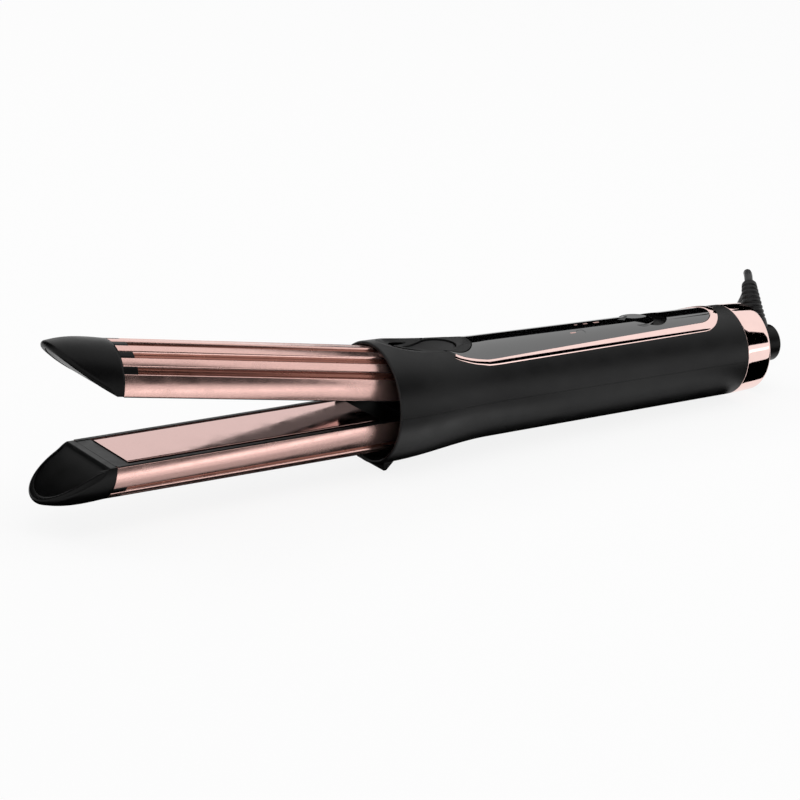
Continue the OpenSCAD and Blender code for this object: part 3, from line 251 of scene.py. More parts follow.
def circle(a: np.ndarray) -> Points:
    """Directions [cos, sin] at angles."""
    return np.stack([np.cos(a), np.sin(a)], axis=-1)


def with_x(x: float | np.ndarray, yz: Points) -> Points:
    """Points [x, y, z] of places [y, z], at one x or at one for each."""
    return np.concatenate([np.broadcast_to(x, yz.shape[:-1])[..., None], yz], axis=-1)


def with_z(xy: Points, z: float | np.ndarray) -> Points:
    """Points [x, y, z] of places [x, y], at one z or at one for each."""
    return np.concatenate([xy, np.broadcast_to(z, xy.shape[:-1])[..., None]], axis=-1)


def run_along(line: Points) -> np.ndarray:
    """The distance along a line at each of its points."""
    return np.concatenate([[0.0], np.cumsum(np.linalg.norm(np.diff(line, axis=0), axis=1))])


def respaced(line: Points, share: np.ndarray) -> Points:
    """Points of a line at the given shares of its length."""
    run = run_along(line)
    return np.stack([np.interp(share * run[-1], run, values) for values in line.T], axis=-1)


def rounded_path(corners: tuple[Triple, ...]) -> Points:
    """A closed polygon whose corners are rounded.

    Each corner [x, r, radius] is replaced by a quadratic curve that starts and ends
    at radius along its two sides and has the corner as its middle point.
    """
    p, reach = np.array(corners)[:, :2], np.array(corners)[:, 2:]
    start, end = (p + unit(np.roll(p, way, axis=0) - p) * reach for way in (1, -1))
    t = np.linspace(0, 1, 6)[None, :, None]
    curve = start[:, None] * (1 - t) ** 2 + 2 * p[:, None] * t * (1 - t) + end[:, None] * t**2
    flat = curve.reshape(-1, 2)
    return flat[np.linalg.norm(flat - np.roll(flat, 1, axis=0), axis=1) > 1e-4]


def along(points: Points, step: float) -> Points:
    """A smooth curve through points, sampled about every step.

    Between two points it is the cubic that has, at each, the slope of the parabola
    through that point and its two neighbours.
    """
    h = np.linalg.norm(np.diff(points, axis=0), axis=1)[:, None]
    slope = np.diff(points, axis=0) / h
    inner = (slope[:-1] * h[1:] + slope[1:] * h[:-1]) / (h[:-1] + h[1:])
    m = np.concatenate([slope[:1], inner, slope[-1:]])
    knots = run_along(points)
    s = np.linspace(0, knots[-1], int(knots[-1] / step) + 1)
    i = np.clip(np.searchsorted(knots, s, side="right") - 1, 0, len(h) - 1)
    t = ((s - knots[i]) / h[i, 0])[:, None]
    return ((2 * t**3 - 3 * t**2 + 1) * points[i] + (t**3 - 2 * t**2 + t) * h[i] * m[i]
            + (3 * t**2 - 2 * t**3) * points[i + 1] + (t**3 - t**2) * h[i] * m[i + 1])


# ---------------------------------------------------------------- skins and pieces


def grid_faces(rows: int, cols: int, closed: bool = False) -> Faces:
    """Quads between neighbouring rings of points, and from the last to the first where closed."""
    i, j = np.meshgrid(np.arange(rows if closed else rows - 1), np.arange(cols), indexing="ij")
    k = (j + 1) % cols
    quads = np.stack([i * cols + j, i * cols + k, (i + 1) * cols + k, (i + 1) * cols + j], axis=-1)
    return [tuple(f) for f in (quads.reshape(-1, 4) % (rows * cols)).tolist()]


def skin_of_rings(rings: Points) -> Shape:
    """A closed skin through rings of points, its two ends filled by one face each.

    Args:
        rings: Points by ring and by place round it, (rings, places, 3).

    Returns:
        The points in one list, and the faces.
    """
    rows, cols = rings.shape[:2]
    last = (rows - 1) * cols
    ends = [tuple(range(cols - 1, -1, -1)), tuple(range(last, last + cols))]
    return rings.reshape(-1, 3), grid_faces(rows, cols) + ends


def revolved(profile: Points, places: int) -> Shape:
    """A closed profile of [x, r] carried once round the X axis."""
    turn = circle(np.linspace(0, 2 * np.pi, places, endpoint=False))
    grid = with_x(profile[:, :1], profile[:, 1, None, None] * turn)
    return grid.reshape(-1, 3), grid_faces(len(profile), places, closed=True)


def tube(path: Points, radii: Points, places: int, side: Points) -> Shape:
    """A tube round a path, whose ring turns as little as possible from one point to the next.

    Args:
        path: The tube's middle line.
        radii: Its radius at each ring, or at each ring and place round it.
        places: The number of places round it.
        side: About where the first ring's first place lies.

    Returns:
        The tube's skin.
    """
    heading = unit(np.gradient(path, axis=0))
    sides = np.empty_like(path)
    for k, t in enumerate(heading):
        sides[k] = side = unit(side - t * side.dot(t))
    c, s = circle(np.linspace(0, 2 * np.pi, places, endpoint=False)).T
    radii = radii[:, None] if radii.ndim == 1 else radii
    ring = sides[:, None] * (radii * c)[..., None] + np.cross(heading, sides)[:, None] * (radii * s)[..., None]
    return skin_of_rings(path[:, None] + ring)


def joined(parts: list[Shape]) -> Shape:
    """Several skins as one list of points and one of faces."""
    points, faces, start = [], [], 0
    for some, those in parts:
        points.append(some)
        faces += [tuple(start + k for k in f) for f in those]
        start += len(some)
    return np.concatenate(points), faces


def of_node(name: str) -> Shape:
    """A merged copy of a CAD node's triangles: points at one place are made one."""
    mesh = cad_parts[name].data
    points = np.empty(len(mesh.vertices) * 3)
    mesh.vertices.foreach_get("co", points)
    mesh.calc_loop_triangles()
    corners = np.empty(len(mesh.loop_triangles) * 3, int)
    mesh.loop_triangles.foreach_get("vertices", corners)
    points = points.reshape(-1, 3)
    grid = np.round(points / 1e-6).astype(np.int64)
    _, first, back = np.unique(grid, axis=0, return_index=True, return_inverse=True)
    faces = back.reshape(-1)[corners].reshape(-1, 3)
    whole = (faces != np.roll(faces, 1, axis=1)).all(axis=1)
    return points[first], [tuple(f) for f in faces[whole].tolist()]


def piece(name: str, shape: Shape, finish: Finish, body: Body,
          stands_for: tuple[str, ...] = (), smooth_deg: float = 35.0) -> bpy.types.Object:
    """Makes an object of a skin, smooth but for its edges, and ties it to the frame.

    Args:
        name: The piece's name.
        shape: Its points in metres in the shared frame, and its faces.
        finish: What it is made of.
        body: The body that it rides on.
        stands_for: The CAD nodes that it takes the place of.
        smooth_deg: Angle over which an edge stays sharp.

    Returns:
        The new object.
    """
    mesh = bpy.data.meshes.new(name)
    mesh.from_pydata(shape[0].tolist(), [], shape[1])
    work = bmesh.new()
    work.from_mesh(mesh)
    bmesh.ops.remove_doubles(work, verts=work.verts, dist=2e-6)
    bmesh.ops.recalc_face_normals(work, faces=work.faces)
    work.to_mesh(mesh)
    work.free()
    mesh.polygons.foreach_set("use_smooth", np.ones(len(mesh.polygons), bool))
    mesh.set_sharp_from_angle(angle=math.radians(smooth_deg))
    mesh.materials.append(finish.material())
    made = bpy.data.objects.new(name, mesh)
    bpy.context.scene.collection.objects.link(made)
    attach(made, body.value)
    if stands_for:
        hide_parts(*stands_for)
    LOG.info("%s: %d faces on %s", name, len(mesh.polygons), body.value)
    return made


def softened(made: bpy.types.Object, width_mm: float) -> bpy.types.Object:
    """Rounds a piece's sharp edges by a live bevel."""
    bevel = made.modifiers.new("rounding", "BEVEL")
    bevel.width, bevel.segments = width_mm * MM, 3
    bevel.limit_method, bevel.angle_limit = "ANGLE", math.radians(35)
    return made


def dress(name: str, finish: Finish) -> None:
    """Gives a CAD node that stays its material, and smooths its shading up to its edges by modifier."""
    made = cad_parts[name]
    if not made.material_slots:
        made.data.materials.append(None)
    for place in made.material_slots:
        place.material = finish.material()
    made.modifiers.new("smooth_shading", "NODES").node_group = shading_group()
    LOG.info("%s: dressed as %s", name, finish.name)


def shading_group() -> Tree:
    """A node group that merges doubles and shades smooth all but edges over 30 degrees."""
    tree = bpy.data.node_groups.get("smooth_by_angle")
    if tree:
        return tree
    tree = bpy.data.node_groups.new("smooth_by_angle", "GeometryNodeTree")
    for way in ("INPUT", "OUTPUT"):
        tree.interface.new_socket("Geometry", in_out=way, socket_type="NodeSocketGeometry")
    source = node(tree, "NodeGroupInput").outputs[0]
    merged = node(tree, "GeometryNodeMergeByDistance", {"Geometry": source, "Distance": 2e-6})
    faces = node(tree, "GeometryNodeSetShadeSmooth", {"Geometry": merged.outputs["Geometry"]})
    angle = node(tree, "GeometryNodeInputMeshEdgeAngle").outputs["Unsigned Angle"]
    over = node(tree, "FunctionNodeCompare", {"A": angle, "B": math.radians(30)})
    over.operation = "GREATER_THAN"
    edges = node(tree, "GeometryNodeSetShadeSmooth", {
        "Geometry": faces.outputs["Geometry"], "Selection": over.outputs["Result"], "Shade Smooth": False})
    edges.domain = "EDGE"
    node(tree, "NodeGroupOutput", {0: edges.outputs["Geometry"]})
    return tree


# ------------------------------------------------------------------- stance


@dataclass(frozen=True)
class Stance:
    """How the handle lies on the surface and how the two arms stand in it, in millimetres."""

    tilt: float = math.radians(2.19639)
    rise: float = 26.1268
    middle: float = 27.9344
    pivot_x: float = 46.0
    pivot_drop: float = 1.8
    open_up: float = math.radians(8.4)
    set_down: float = math.radians(0.6)

    def handle(self, p: Points) -> Points:
        """Points of the handle's own frame, in metres in the shared frame."""
        c, s = math.cos(self.tilt), math.sin(self.tilt)
        return MM * np.stack([p[..., 0] * c + p[..., 2] * s - self.middle, p[..., 1],
                              -p[..., 0] * s + p[..., 2] * c + self.rise], axis=-1)

    def into_handle(self, p: Points) -> Points:
        """Points of the shared frame, in millimetres in the handle's own."""
        c, s = math.cos(self.tilt), math.sin(self.tilt)
        x, z = p[..., 0] / MM + self.middle, p[..., 2] / MM - self.rise
        return np.stack([x * c - z * s, p[..., 1] / MM, x * s + z * c], axis=-1)

    def turned(self, n: Points) -> Points:
        """Directions of the handle's own frame, in the shared one."""
        return (self.handle(n) - self.handle(np.zeros(3))) / MM

    def arm(self, side: Side, p: Points) -> Points:
        """Points of an arm's own frame, in metres in the shared one."""
        a, up = (self.open_up, 1.0) if side is Side.UPPER else (-self.set_down, -1.0)
        x, z = p[..., 0], up * p[..., 2]
        return self.handle(np.stack([x * math.cos(a) + z * math.sin(a) + self.pivot_x, p[..., 1],
                                     -x * math.sin(a) + z * math.cos(a) - self.pivot_drop], axis=-1))


STANCE = Stance()


# --------------------------------------------------------------------- cord


@dataclass
class MainsCord:
    """The cord from its strain relief to the plug, its spare length folded behind the handle.

    Thicknesses and the fold's sizes are in millimetres, the route's points in metres.
    """

    thick: float = 3.6
    leaves: Triple = (0.175185, 0.0128152, 0.0413062)
    heading: Triple = (0.484706, 0.749058, 0.451633)
    down: tuple[Triple, ...] = (
        (0.1806, 0.0205, 0.0431), (0.1845, 0.0255, 0.0416), (0.1887, 0.0297, 0.0383), (0.1922, 0.0336, 0.034),
        (0.1949, 0.0376, 0.029), (0.1968, 0.0418, 0.0237), (0.198, 0.0468, 0.0176), (0.1987, 0.052, 0.0138),
        (0.1992, 0.0568, 0.0094), (0.1999, 0.0615, 0.0052), (0.1993, 0.0663, 0.0024), (0.1962, 0.0714, 0.0018),
        (0.1906, 0.0752, 0.0018), (0.183, 0.0772, 0.0018), (0.173, 0.0776, 0.0018), (0.164, 0.0774, 0.0018),
        (0.155, 0.0772, 0.0018), (0.146, 0.0771, 0.0018), (0.137, 0.077, 0.0018), (0.128, 0.0769, 0.0018))
    up: tuple[Triple, ...] = (
        (0.1172, 0.0247, 0.006), (0.1214, 0.0266, 0.0062), (0.1248, 0.0294, 0.0064), (0.1278, 0.0326, 0.0066),
        (0.131, 0.0356, 0.0068), (0.1342, 0.0374, 0.00685), (0.137, 0.038, 0.00685), (0.13995, 0.038, 0.00685))
    middle: Pair = (73.0, 50.0)
    run: float = 72.0
    loops: int = 3
    loop_points: int = 24
    pitch: float = 4.3
    inner: float = 14.04
    waist: float = 3.0
    waist_rise: float = 0.55
    layer_gap: float = 0.45
    fold_share: float = 7 / 24

    def folded(self) -> Points:
        """The folded length: loops of two straight runs and two half circles.

        The loops lie side by side from the outermost in, then out again one layer
        higher, and their runs draw in by the waist in the middle, where the tie is.
        """
        turns = 2 * self.loops - self.fold_share
        s = np.arange(int(turns * self.loop_points + 1e-6) + 1) / self.loop_points
        s = np.append(s, turns) if turns - s[-1] > 1e-4 else s
        u, width = s % 1, self.inner + self.pitch * np.abs(self.loops - s)
        share = 0.5 - self.fold_share
        first, near_fold = u < share, (u >= share) & (u < 0.5)
        straight = first | (u >= 0.5) & (u < 0.5 + share)
        turn = np.where(near_fold, np.pi / 2 + np.pi * (u - share) / self.fold_share,
                        -np.pi / 2 + np.pi * (u - 0.5 - share) / self.fold_share)
        run_x = self.run * np.where(first, 0.5 - u / share, (u - 0.5) / share - 0.5)
        fold_x = np.where(near_fold, -self.run / 2, self.run / 2) + width * np.cos(turn)
        x = np.where(straight, run_x, fold_x)
        pinch = self.waist * (1 - np.minimum(1, np.abs(x) / (self.run / 2)) ** 2) ** 2
        y = np.where(straight, np.where(first, 1, -1) * (width - pinch), width * np.sin(turn))
        climb = (self.thick + self.layer_gap) * smooth((s - self.loops + 0.15) / 0.3)
        z = self.thick / 2 + self.waist_rise * pinch / self.waist + climb
        return MM * np.stack([self.middle[0] + x, self.middle[1] + y, z], axis=-1)

    def route(self) -> Points:
        """The whole route: out of the relief, down behind the handle, folded, and up to the plug."""
        start = np.array(self.leaves) + np.array(self.heading) * np.array([[0.05 * MM], [self.thick * MM]])
        return along(np.concatenate([start, self.down, self.folded(), self.up]), 1.2 * MM)

    def build(self) -> None:
        path = self.route()
        jacket = tube(path, np.full(len(path), self.thick * MM / 2), 14, np.array([0.0, 0.0, 1.0]))
        cord = piece("mains_cord", jacket, CORD_BLACK, Body.SWIVEL,
                     ("cord_run", "cord_hank", "cord_tail"), 60)
        tie = self.made_of("cord_strap", "cord_tie", SATIN_BLACK, "cord_jacket")
        plug = self.made_of("mains_plug", "plug_body", PLUG_BLACK, "plug_plastic")
        pins = self.made_of("mains_plug_pins", "plug_pins", PIN_METAL, "plug_pin")
        softened(tie, 0.2)
        softened(plug, 0.9)

    @staticmethod
    def made_of(name: str, source: str, finish: Finish, slot: str) -> bpy.types.Object:
        """A piece that has its CAD node's own shape and turns with the swivel."""
        return piece(name, of_node(source), finish, Body.SWIVEL, (source,))


# --------------------------------------------------------------------- arms


@dataclass
class ClampArm:
    """One of the two arms: a ribbed half-round shell, its slanted tip and the plate inside.

    Its own frame has x along the arm from the pivot, so that the tip is at the
    lowest x, and z away from the plane in which the arms meet.
    """

    side: Side
    body: Body
    rib_pitch: float
    radius: float = 17.9
    edge: float = 0.5
    wall: float = 1.8
    edge_round: float = 0.35
    front: float = -170.3
    rear: float = -37.0
    outer_places: int = 900
    inner_places: int = 90
    grooves: int = 6
    groove_half: float = 2.0
    groove_floor: float = 0.45
    groove_depth: float = 1.25
    fold: float = -173.0
    fold_corner: float = 0.3
    slope: float = 1.5
    bulge: float = 0.53
    roll: float = 1.6
    swell: float = 1.5
    draw: float = 3.6
    recess: Pair = (0.6, 1.4)
    inlay_inset: float = 0.72
    inlay_sink: float = 0.3
    finger_end: float = -164.0
    finger_corner: float = 0.6
    plate_ends: Pair = (-163.9, -50.9)
    plate_half: float = 13.6
    plate_z: Pair = (0.1, 1.7)
    plate_round: float = 0.4
    lip_from: float = 15.9
    lip_half: float = 0.16

    def skin(self, rings: Points | list[Points]) -> Shape:
        """A closed skin through rings of the arm's own frame."""
        return skin_of_rings(STANCE.arm(self.side, np.stack(rings)))

    def groove_angles(self) -> np.ndarray:
        """Angles of the grooves' middles round the arm, in degrees from its edge plane."""
        return 90 + (np.arange(self.grooves) - (self.grooves - 1) / 2) * self.rib_pitch

    def barrel_section(self) -> Points:
        """The shell's closed section [y, z].

        Outside, the radius less the groove depth times an S curve of the distance to
        the nearest groove, so that a groove has a flat floor and steep soft walls,
        less a small rounding at the two lower edges; inside, a plain arc.
        """
        low = math.degrees(math.asin(self.edge / self.radius))
        a = np.linspace(low, 180 - low, self.outer_places)
        degree = math.radians(self.radius)
        away = np.abs(a[:, None] - self.groove_angles()).min(axis=1) * degree
        near_edge = np.minimum(a - low, 180 - low - a) * degree
        wall = smooth((away - self.groove_floor) / (self.groove_half - self.groove_floor))
        corner = 1 - np.sqrt(1 - (1 - np.clip(near_edge / self.edge_round, 0, 1)) ** 2)
        outer = self.radius - self.groove_depth * (1 - wall) - self.edge_round * corner
        r = np.concatenate([outer, np.full(self.inner_places, self.radius - self.wall)])
        a = np.radians(np.concatenate([a, np.linspace(180 - low, low, self.inner_places)]))
        return np.maximum(r[:, None] * circle(a), [-self.radius, self.edge])

    def barrel(self) -> Shape:
        """The section carried along the arm, drawn in a little at its two ends."""
        yz = self.barrel_section()
        outside = np.hypot(*yz.T)[:, None] > self.radius - self.groove_depth - 0.05
        steps = ((self.front, 0.990), (self.front + 0.05, 0.997), (self.front + 0.25, 1.0),
                 (self.rear - 0.25, 1.0), (self.rear, 0.99))
        grid = np.stack([with_x(x, yz * np.where(outside, draw, 1.0)) for x, draw in steps])
        last = (len(steps) - 1) * len(yz)
        faces = grid_faces(len(steps), len(yz)) + self.end_cap(0) + self.end_cap(last)
        return STANCE.arm(self.side, grid).reshape(-1, 3), faces

    def end_cap(self, start: int) -> Faces:
        """Quads and triangles across the shell's wall at one end, from the outer line to the inner one."""
        k = np.arange(self.outer_places - 1)
        across = np.round(np.linspace(0, self.inner_places - 1, self.outer_places)).astype(int)
        back = self.outer_places + self.inner_places - 1 - across
        quads = np.stack([k, k + 1, back[k + 1], back[k]], axis=-1) + start
        return [tuple(dict.fromkeys(f)) for f in quads.tolist()]

    def face_x(self, z: np.ndarray) -> tuple[np.ndarray, np.ndarray]:
        """The slanted face at height z: its x, and how fast it runs forward there.

        The run is a parabola of the height over the fold, steepest at the fold.
        """
        t, rise = z - self.edge, self.radius - self.roll - self.edge
        return (self.fold - self.slope * t * (1 + self.bulge * (1 - t / rise)),
                self.slope * (1 + self.bulge * (1 - 2 * t / rise)))

    def face_normal(self, z: np.ndarray) -> Points:
        """The direction out of the slanted face at height z."""
        rate = self.face_x(z)[1]
        return -unit(np.stack([np.ones_like(rate), 0 * rate, rate], axis=-1))

    def crown(self, x: np.ndarray) -> tuple[np.ndarray, np.ndarray]:
        """The tip's radius at x, a cubic that swells behind the nose and draws in at it, and its rate."""
        nose, rate = self.face_x(np.array(self.radius - self.roll))
        length = self.front - (float(nose) + self.roll * math.hypot(1, float(rate))) + self.roll
        u = (self.front - x) / length
        return self.radius + self.swell * u - self.draw * u**3, -(self.swell - 3 * self.draw * u**2) / length

    def tip_loop(self) -> tuple[Points, Points, np.ndarray]:
        """The tip's section once round: places [y, z], outward directions, and the rim's radius.

        An arc, a small rounded corner, the straight fold and a corner again. The rim's
        radius grows from the fold's sharp line to the full one on the arc.
        """
        corner, z = self.fold_corner, self.edge + self.fold_corner
        at = np.array([math.sqrt((self.radius - corner) ** 2 - z**2), z])
        low = math.atan2(at[1], at[0])
        a = np.linspace(low, math.pi - low, 150)
        left_n = circle(np.linspace(math.pi - low, 1.5 * math.pi, 7)[1:])
        left = at * [-1, 1] + corner * left_n
        fold = np.linspace([-at[0], self.edge], [at[0], self.edge], 26)[1:-1]
        right, right_n = ((way * [-1, 1])[::-1] for way in (left, left_n))
        grow = smooth((np.degrees(np.minimum(a, math.pi - a)) - 2) / 14)
        place = np.concatenate([self.radius * circle(a), left, fold, right])
        out = np.concatenate([circle(a), left_n, np.tile([0.0, -1.0], (len(fold), 1)), right_n])
        rim = np.full(len(place), corner)
        rim[:len(a)] += (self.roll - corner) * grow
        return place, out, rim

    def rim_middle(self) -> tuple[Points, Points, Points]:
        """Round the rim: the middles of its circles, and the skin's and the face's directions there."""
        place, out, rim = self.tip_loop()
        inside = place - rim[:, None] * out
        x, rate = self.face_x(inside[:, 1])
        x = x + rim * np.hypot(1, rate)
        arc = np.hypot(*place.T) > self.radius - 0.01
        size, grow = self.crown(x)
        middle = np.where(arc[:, None], out * (size - rim)[:, None], inside)
        return with_x(x, middle), unit(with_x(np.where(arc, -grow, 0.0), out)), self.face_normal(middle[:, 1])

    def face_ring(self, inset: float, sink: float, shrink: float = 0.0) -> Points:
        """A ring on the slanted face.

        At the fold it keeps to the rim and isn't sunk, so that no line shows there.

        Args:
            inset: How far it lies inside the end of the rim.
            sink: How far it lies below the face.
            shrink: The share by which it is then drawn in towards the face's middle.

        Returns:
            The ring's points.
        """
        middle, _, face = self.rim_middle()
        place, out, rim = self.tip_loop()
        arc = smooth((place[:, 1] - self.edge - self.fold_corner) / 2.5)
        inward = -with_x(0.0, out)
        inward = unit(inward - (inward * face).sum(axis=1, keepdims=True) * face)
        on = middle + rim[:, None] * face + (inset * (0.1 + 0.9 * arc))[:, None] * inward
        yz = on[:, 1:] * (1 - shrink) + np.array([0.0, 6.0]) * shrink
        deep = sink * (arc + (1 - arc) * smooth(shrink / 0.15))
        return with_x(self.face_x(yz[:, 1])[0], yz) - deep[:, None] * self.face_normal(yz[:, 1])

    def tip(self) -> Shape:
        """The tip: the section carried forward over its crown, rolled over a rim onto the face.

        Rolling over, a point moves on a circle from the skin's outward direction to
        the slanted face's. The face steps down to a recess for the inlay.
        """
        place, _, rim = self.tip_loop()
        middle, skin, face = self.rim_middle()
        arc = np.hypot(*place.T) > self.radius - 0.01
        reach = (middle + rim[:, None] * skin)[:, 0]
        rings = [with_x(self.front, place * scale) for scale in (0.9, 0.997)]
        for t in np.linspace(0, 1, 16)[:-1]:
            x = (self.front - 0.05) * (1 - t) + reach * t
            rings.append(with_x(x, place * np.where(arc, self.crown(x)[0] / self.radius, 1.0)[:, None]))
        wide = np.arccos(np.clip((skin * face).sum(axis=1), -1, 1))[:, None]
        for t in np.linspace(0, 1, 13):
            over = (np.sin((1 - t) * wide) * skin + np.sin(t * wide) * face) / np.sin(wide)
            rings.append(middle + rim[:, None] * over)
        rings += [self.face_ring(*step) for step in ((0.45, 0.0), (0.58, 0.05), (0.6, 0.25), self.recess)]
        rings += [self.face_ring(*self.recess, t) for t in (0.05, 0.1, 0.15, 0.3, 0.6, 0.9)]
        return self.skin(rings)

    def inlay(self) -> Shape:
        """The panel let into the slanted face, with a softly rounded edge."""
        inset, sink = self.inlay_inset, self.inlay_sink
        rings = [self.face_ring(inset, self.recess[1] - 0.1, t) for t in (0.9, 0.6, 0.3, 0.0)]
        rings += [self.face_ring(inset + more, sink + down) for more, down in ((0.0, 0.12), (0.06, 0.03), (0.18, 0.0))]
        rings += [self.face_ring(inset + 0.18, sink, t)
                  for t in (0.03, 0.07, 0.11, 0.15, 0.25, 0.35, 0.45, 0.55, 0.65, 0.75, 0.85, 0.96)]
        return self.skin(rings)

    def finger(self, angle: float) -> Shape:
        """A finger of the tip that fills the front end of a groove.

        Across, its height is the root of 1 less the sixth power of the place across;
        seen from outside it ends square, with its two corners rounded.
        """
        half, corner = self.groove_half - 0.05, self.finger_corner
        t, turn_x = np.linspace(0, np.pi / 2, 8), self.finger_end - corner
        x = np.concatenate([np.linspace(self.front - 0.3, turn_x, 4)[:-1], turn_x + corner * np.sin(t)])
        width = np.concatenate([np.full(3, half), half - corner * (1 - np.cos(t))])
        end = np.sqrt(1 - np.clip((x - self.finger_end + 0.3) / 0.3, 0, 0.98) ** 2)
        s = np.linspace(-1, 1, 21)
        low = self.radius - self.groove_depth - 0.05
        top = (self.groove_depth + 0.06) * (1 - np.abs(s) ** 6) ** 0.5 * end[:, None]
        r = np.concatenate([low + top, np.full(top.shape, low - 0.1)], axis=1)
        a = math.radians(angle) - np.concatenate([s, s[::-1]]) * width[:, None] / self.radius
        return self.skin(with_x(x[:, None], r[..., None] * circle(a)))

    def plate(self) -> Shape:
        """The heater plate: a slab with a flat face, small rounded long edges and crisp ends.

        A mirror must stay flat, so narrow strips beside the edges keep their turn out
        of the face.
        """
        half, corner, (face, back), (front, rear) = self.plate_half, self.plate_round, self.plate_z, self.plate_ends
        side = [half - corner, face + corner] + corner * circle(np.linspace(0, -np.pi / 2, 6))
        top = [[half - corner - 0.03, face], [half - corner - 0.5, face], [4.0, face]]
        right = np.concatenate([[[half, back]], side, top])
        yz = np.concatenate([right, right[::-1] * [-1, 1]])
        stops = (front, front + 0.03, front + 0.4, -130.0, -90.0, rear - 0.4, rear - 0.03, rear)
        return self.skin([with_x(x, yz) for x in stops])

    def paint_groove_shade(self, made: bpy.types.Object) -> None:
        """Gives the faces down in the grooves a darker rose finish: painted shade, as if the grooves lay in shadow."""
        made.data.materials.append(PAINTED_GROOVE_SHADE.material())
        # The faces deep in the grooves, which get the painted shade.
        low = np.hypot(*self.barrel_section().T) < self.radius - 0.5
        low[self.outer_places:] = False
        for face in made.data.polygons:
            face.material_index = int(all(low[v % len(low)] for v in face.vertices))

    def lips(self) -> Shape:
        """The carrier's two thin lips, which lie over the shell's edges with rounded sides."""
        low, high = self.lip_from, math.sqrt(self.radius**2 - self.edge**2)
        way = circle(np.linspace(0, 2 * np.pi, 24, endpoint=False))
        square = np.sign(way) * np.abs(way) ** 0.4
        yz = [(low + high) / 2, self.edge - self.lip_half / 2] + square * [(high - low) / 2, self.lip_half]
        rings = np.stack([with_x(at, yz) for at in (self.front + 0.2, self.rear - 0.3)])
        return joined([self.skin(rings * [1, hand, 1]) for hand in (1, -1)])

    def build(self) -> None:
        """Makes the shell, the tip and its inlay, and dresses the arm's inner nodes."""
        s, body = self.side.value, self.body
        shell = piece(f"{s}_shell", self.barrel(), ROSE_SHELL, body, (f"{s}_barrel",), 50)
        # Paints shade into the grooves with a darker finish on their faces.
        self.paint_groove_shade(shell)
        piece(f"{s}_mirror", self.plate(), ROSE_PLATE, body, (f"{s}_plate",), 50)
        end = joined([self.tip(), *(self.finger(a) for a in self.groove_angles())])
        piece(f"{s}_end", end, SATIN_BLACK, body, (f"{s}_tip",), 50)
        piece(f"{s}_end_panel", self.inlay(), SATIN_BLACK, body, (f"{s}_tip_inlay",), 50)
        piece(f"{s}_carrier_lips", self.lips(), SATIN_BLACK, body)
        for part, finish in (("frame", SATIN_BLACK), ("heater", CERAMIC), ("heater_clip", STEEL),
                             ("fuse", CERAMIC), ("leads", LEAD_SLEEVE)):
            dress(f"{s}_{part}", finish)


# ------------------------------------------------------------------- handle


INNER: dict[str, Finish] = {
    "hinge_pin": STEEL, "hinge_bushes": BRASS, "arm_spring": STEEL, "housing_screws": STEEL, "circuit_board": BOARD,
    "slide_switch": SATIN_BLACK, "power_triac": SATIN_BLACK, "mains_capacitor": CAPACITOR,
    "terminal_block": BOARD_PARTS, "board_leads": LEAD_SLEEVE, "contact_brushes": BRASS, "contact_rings": BRASS,
    "swivel_clip": STEEL}


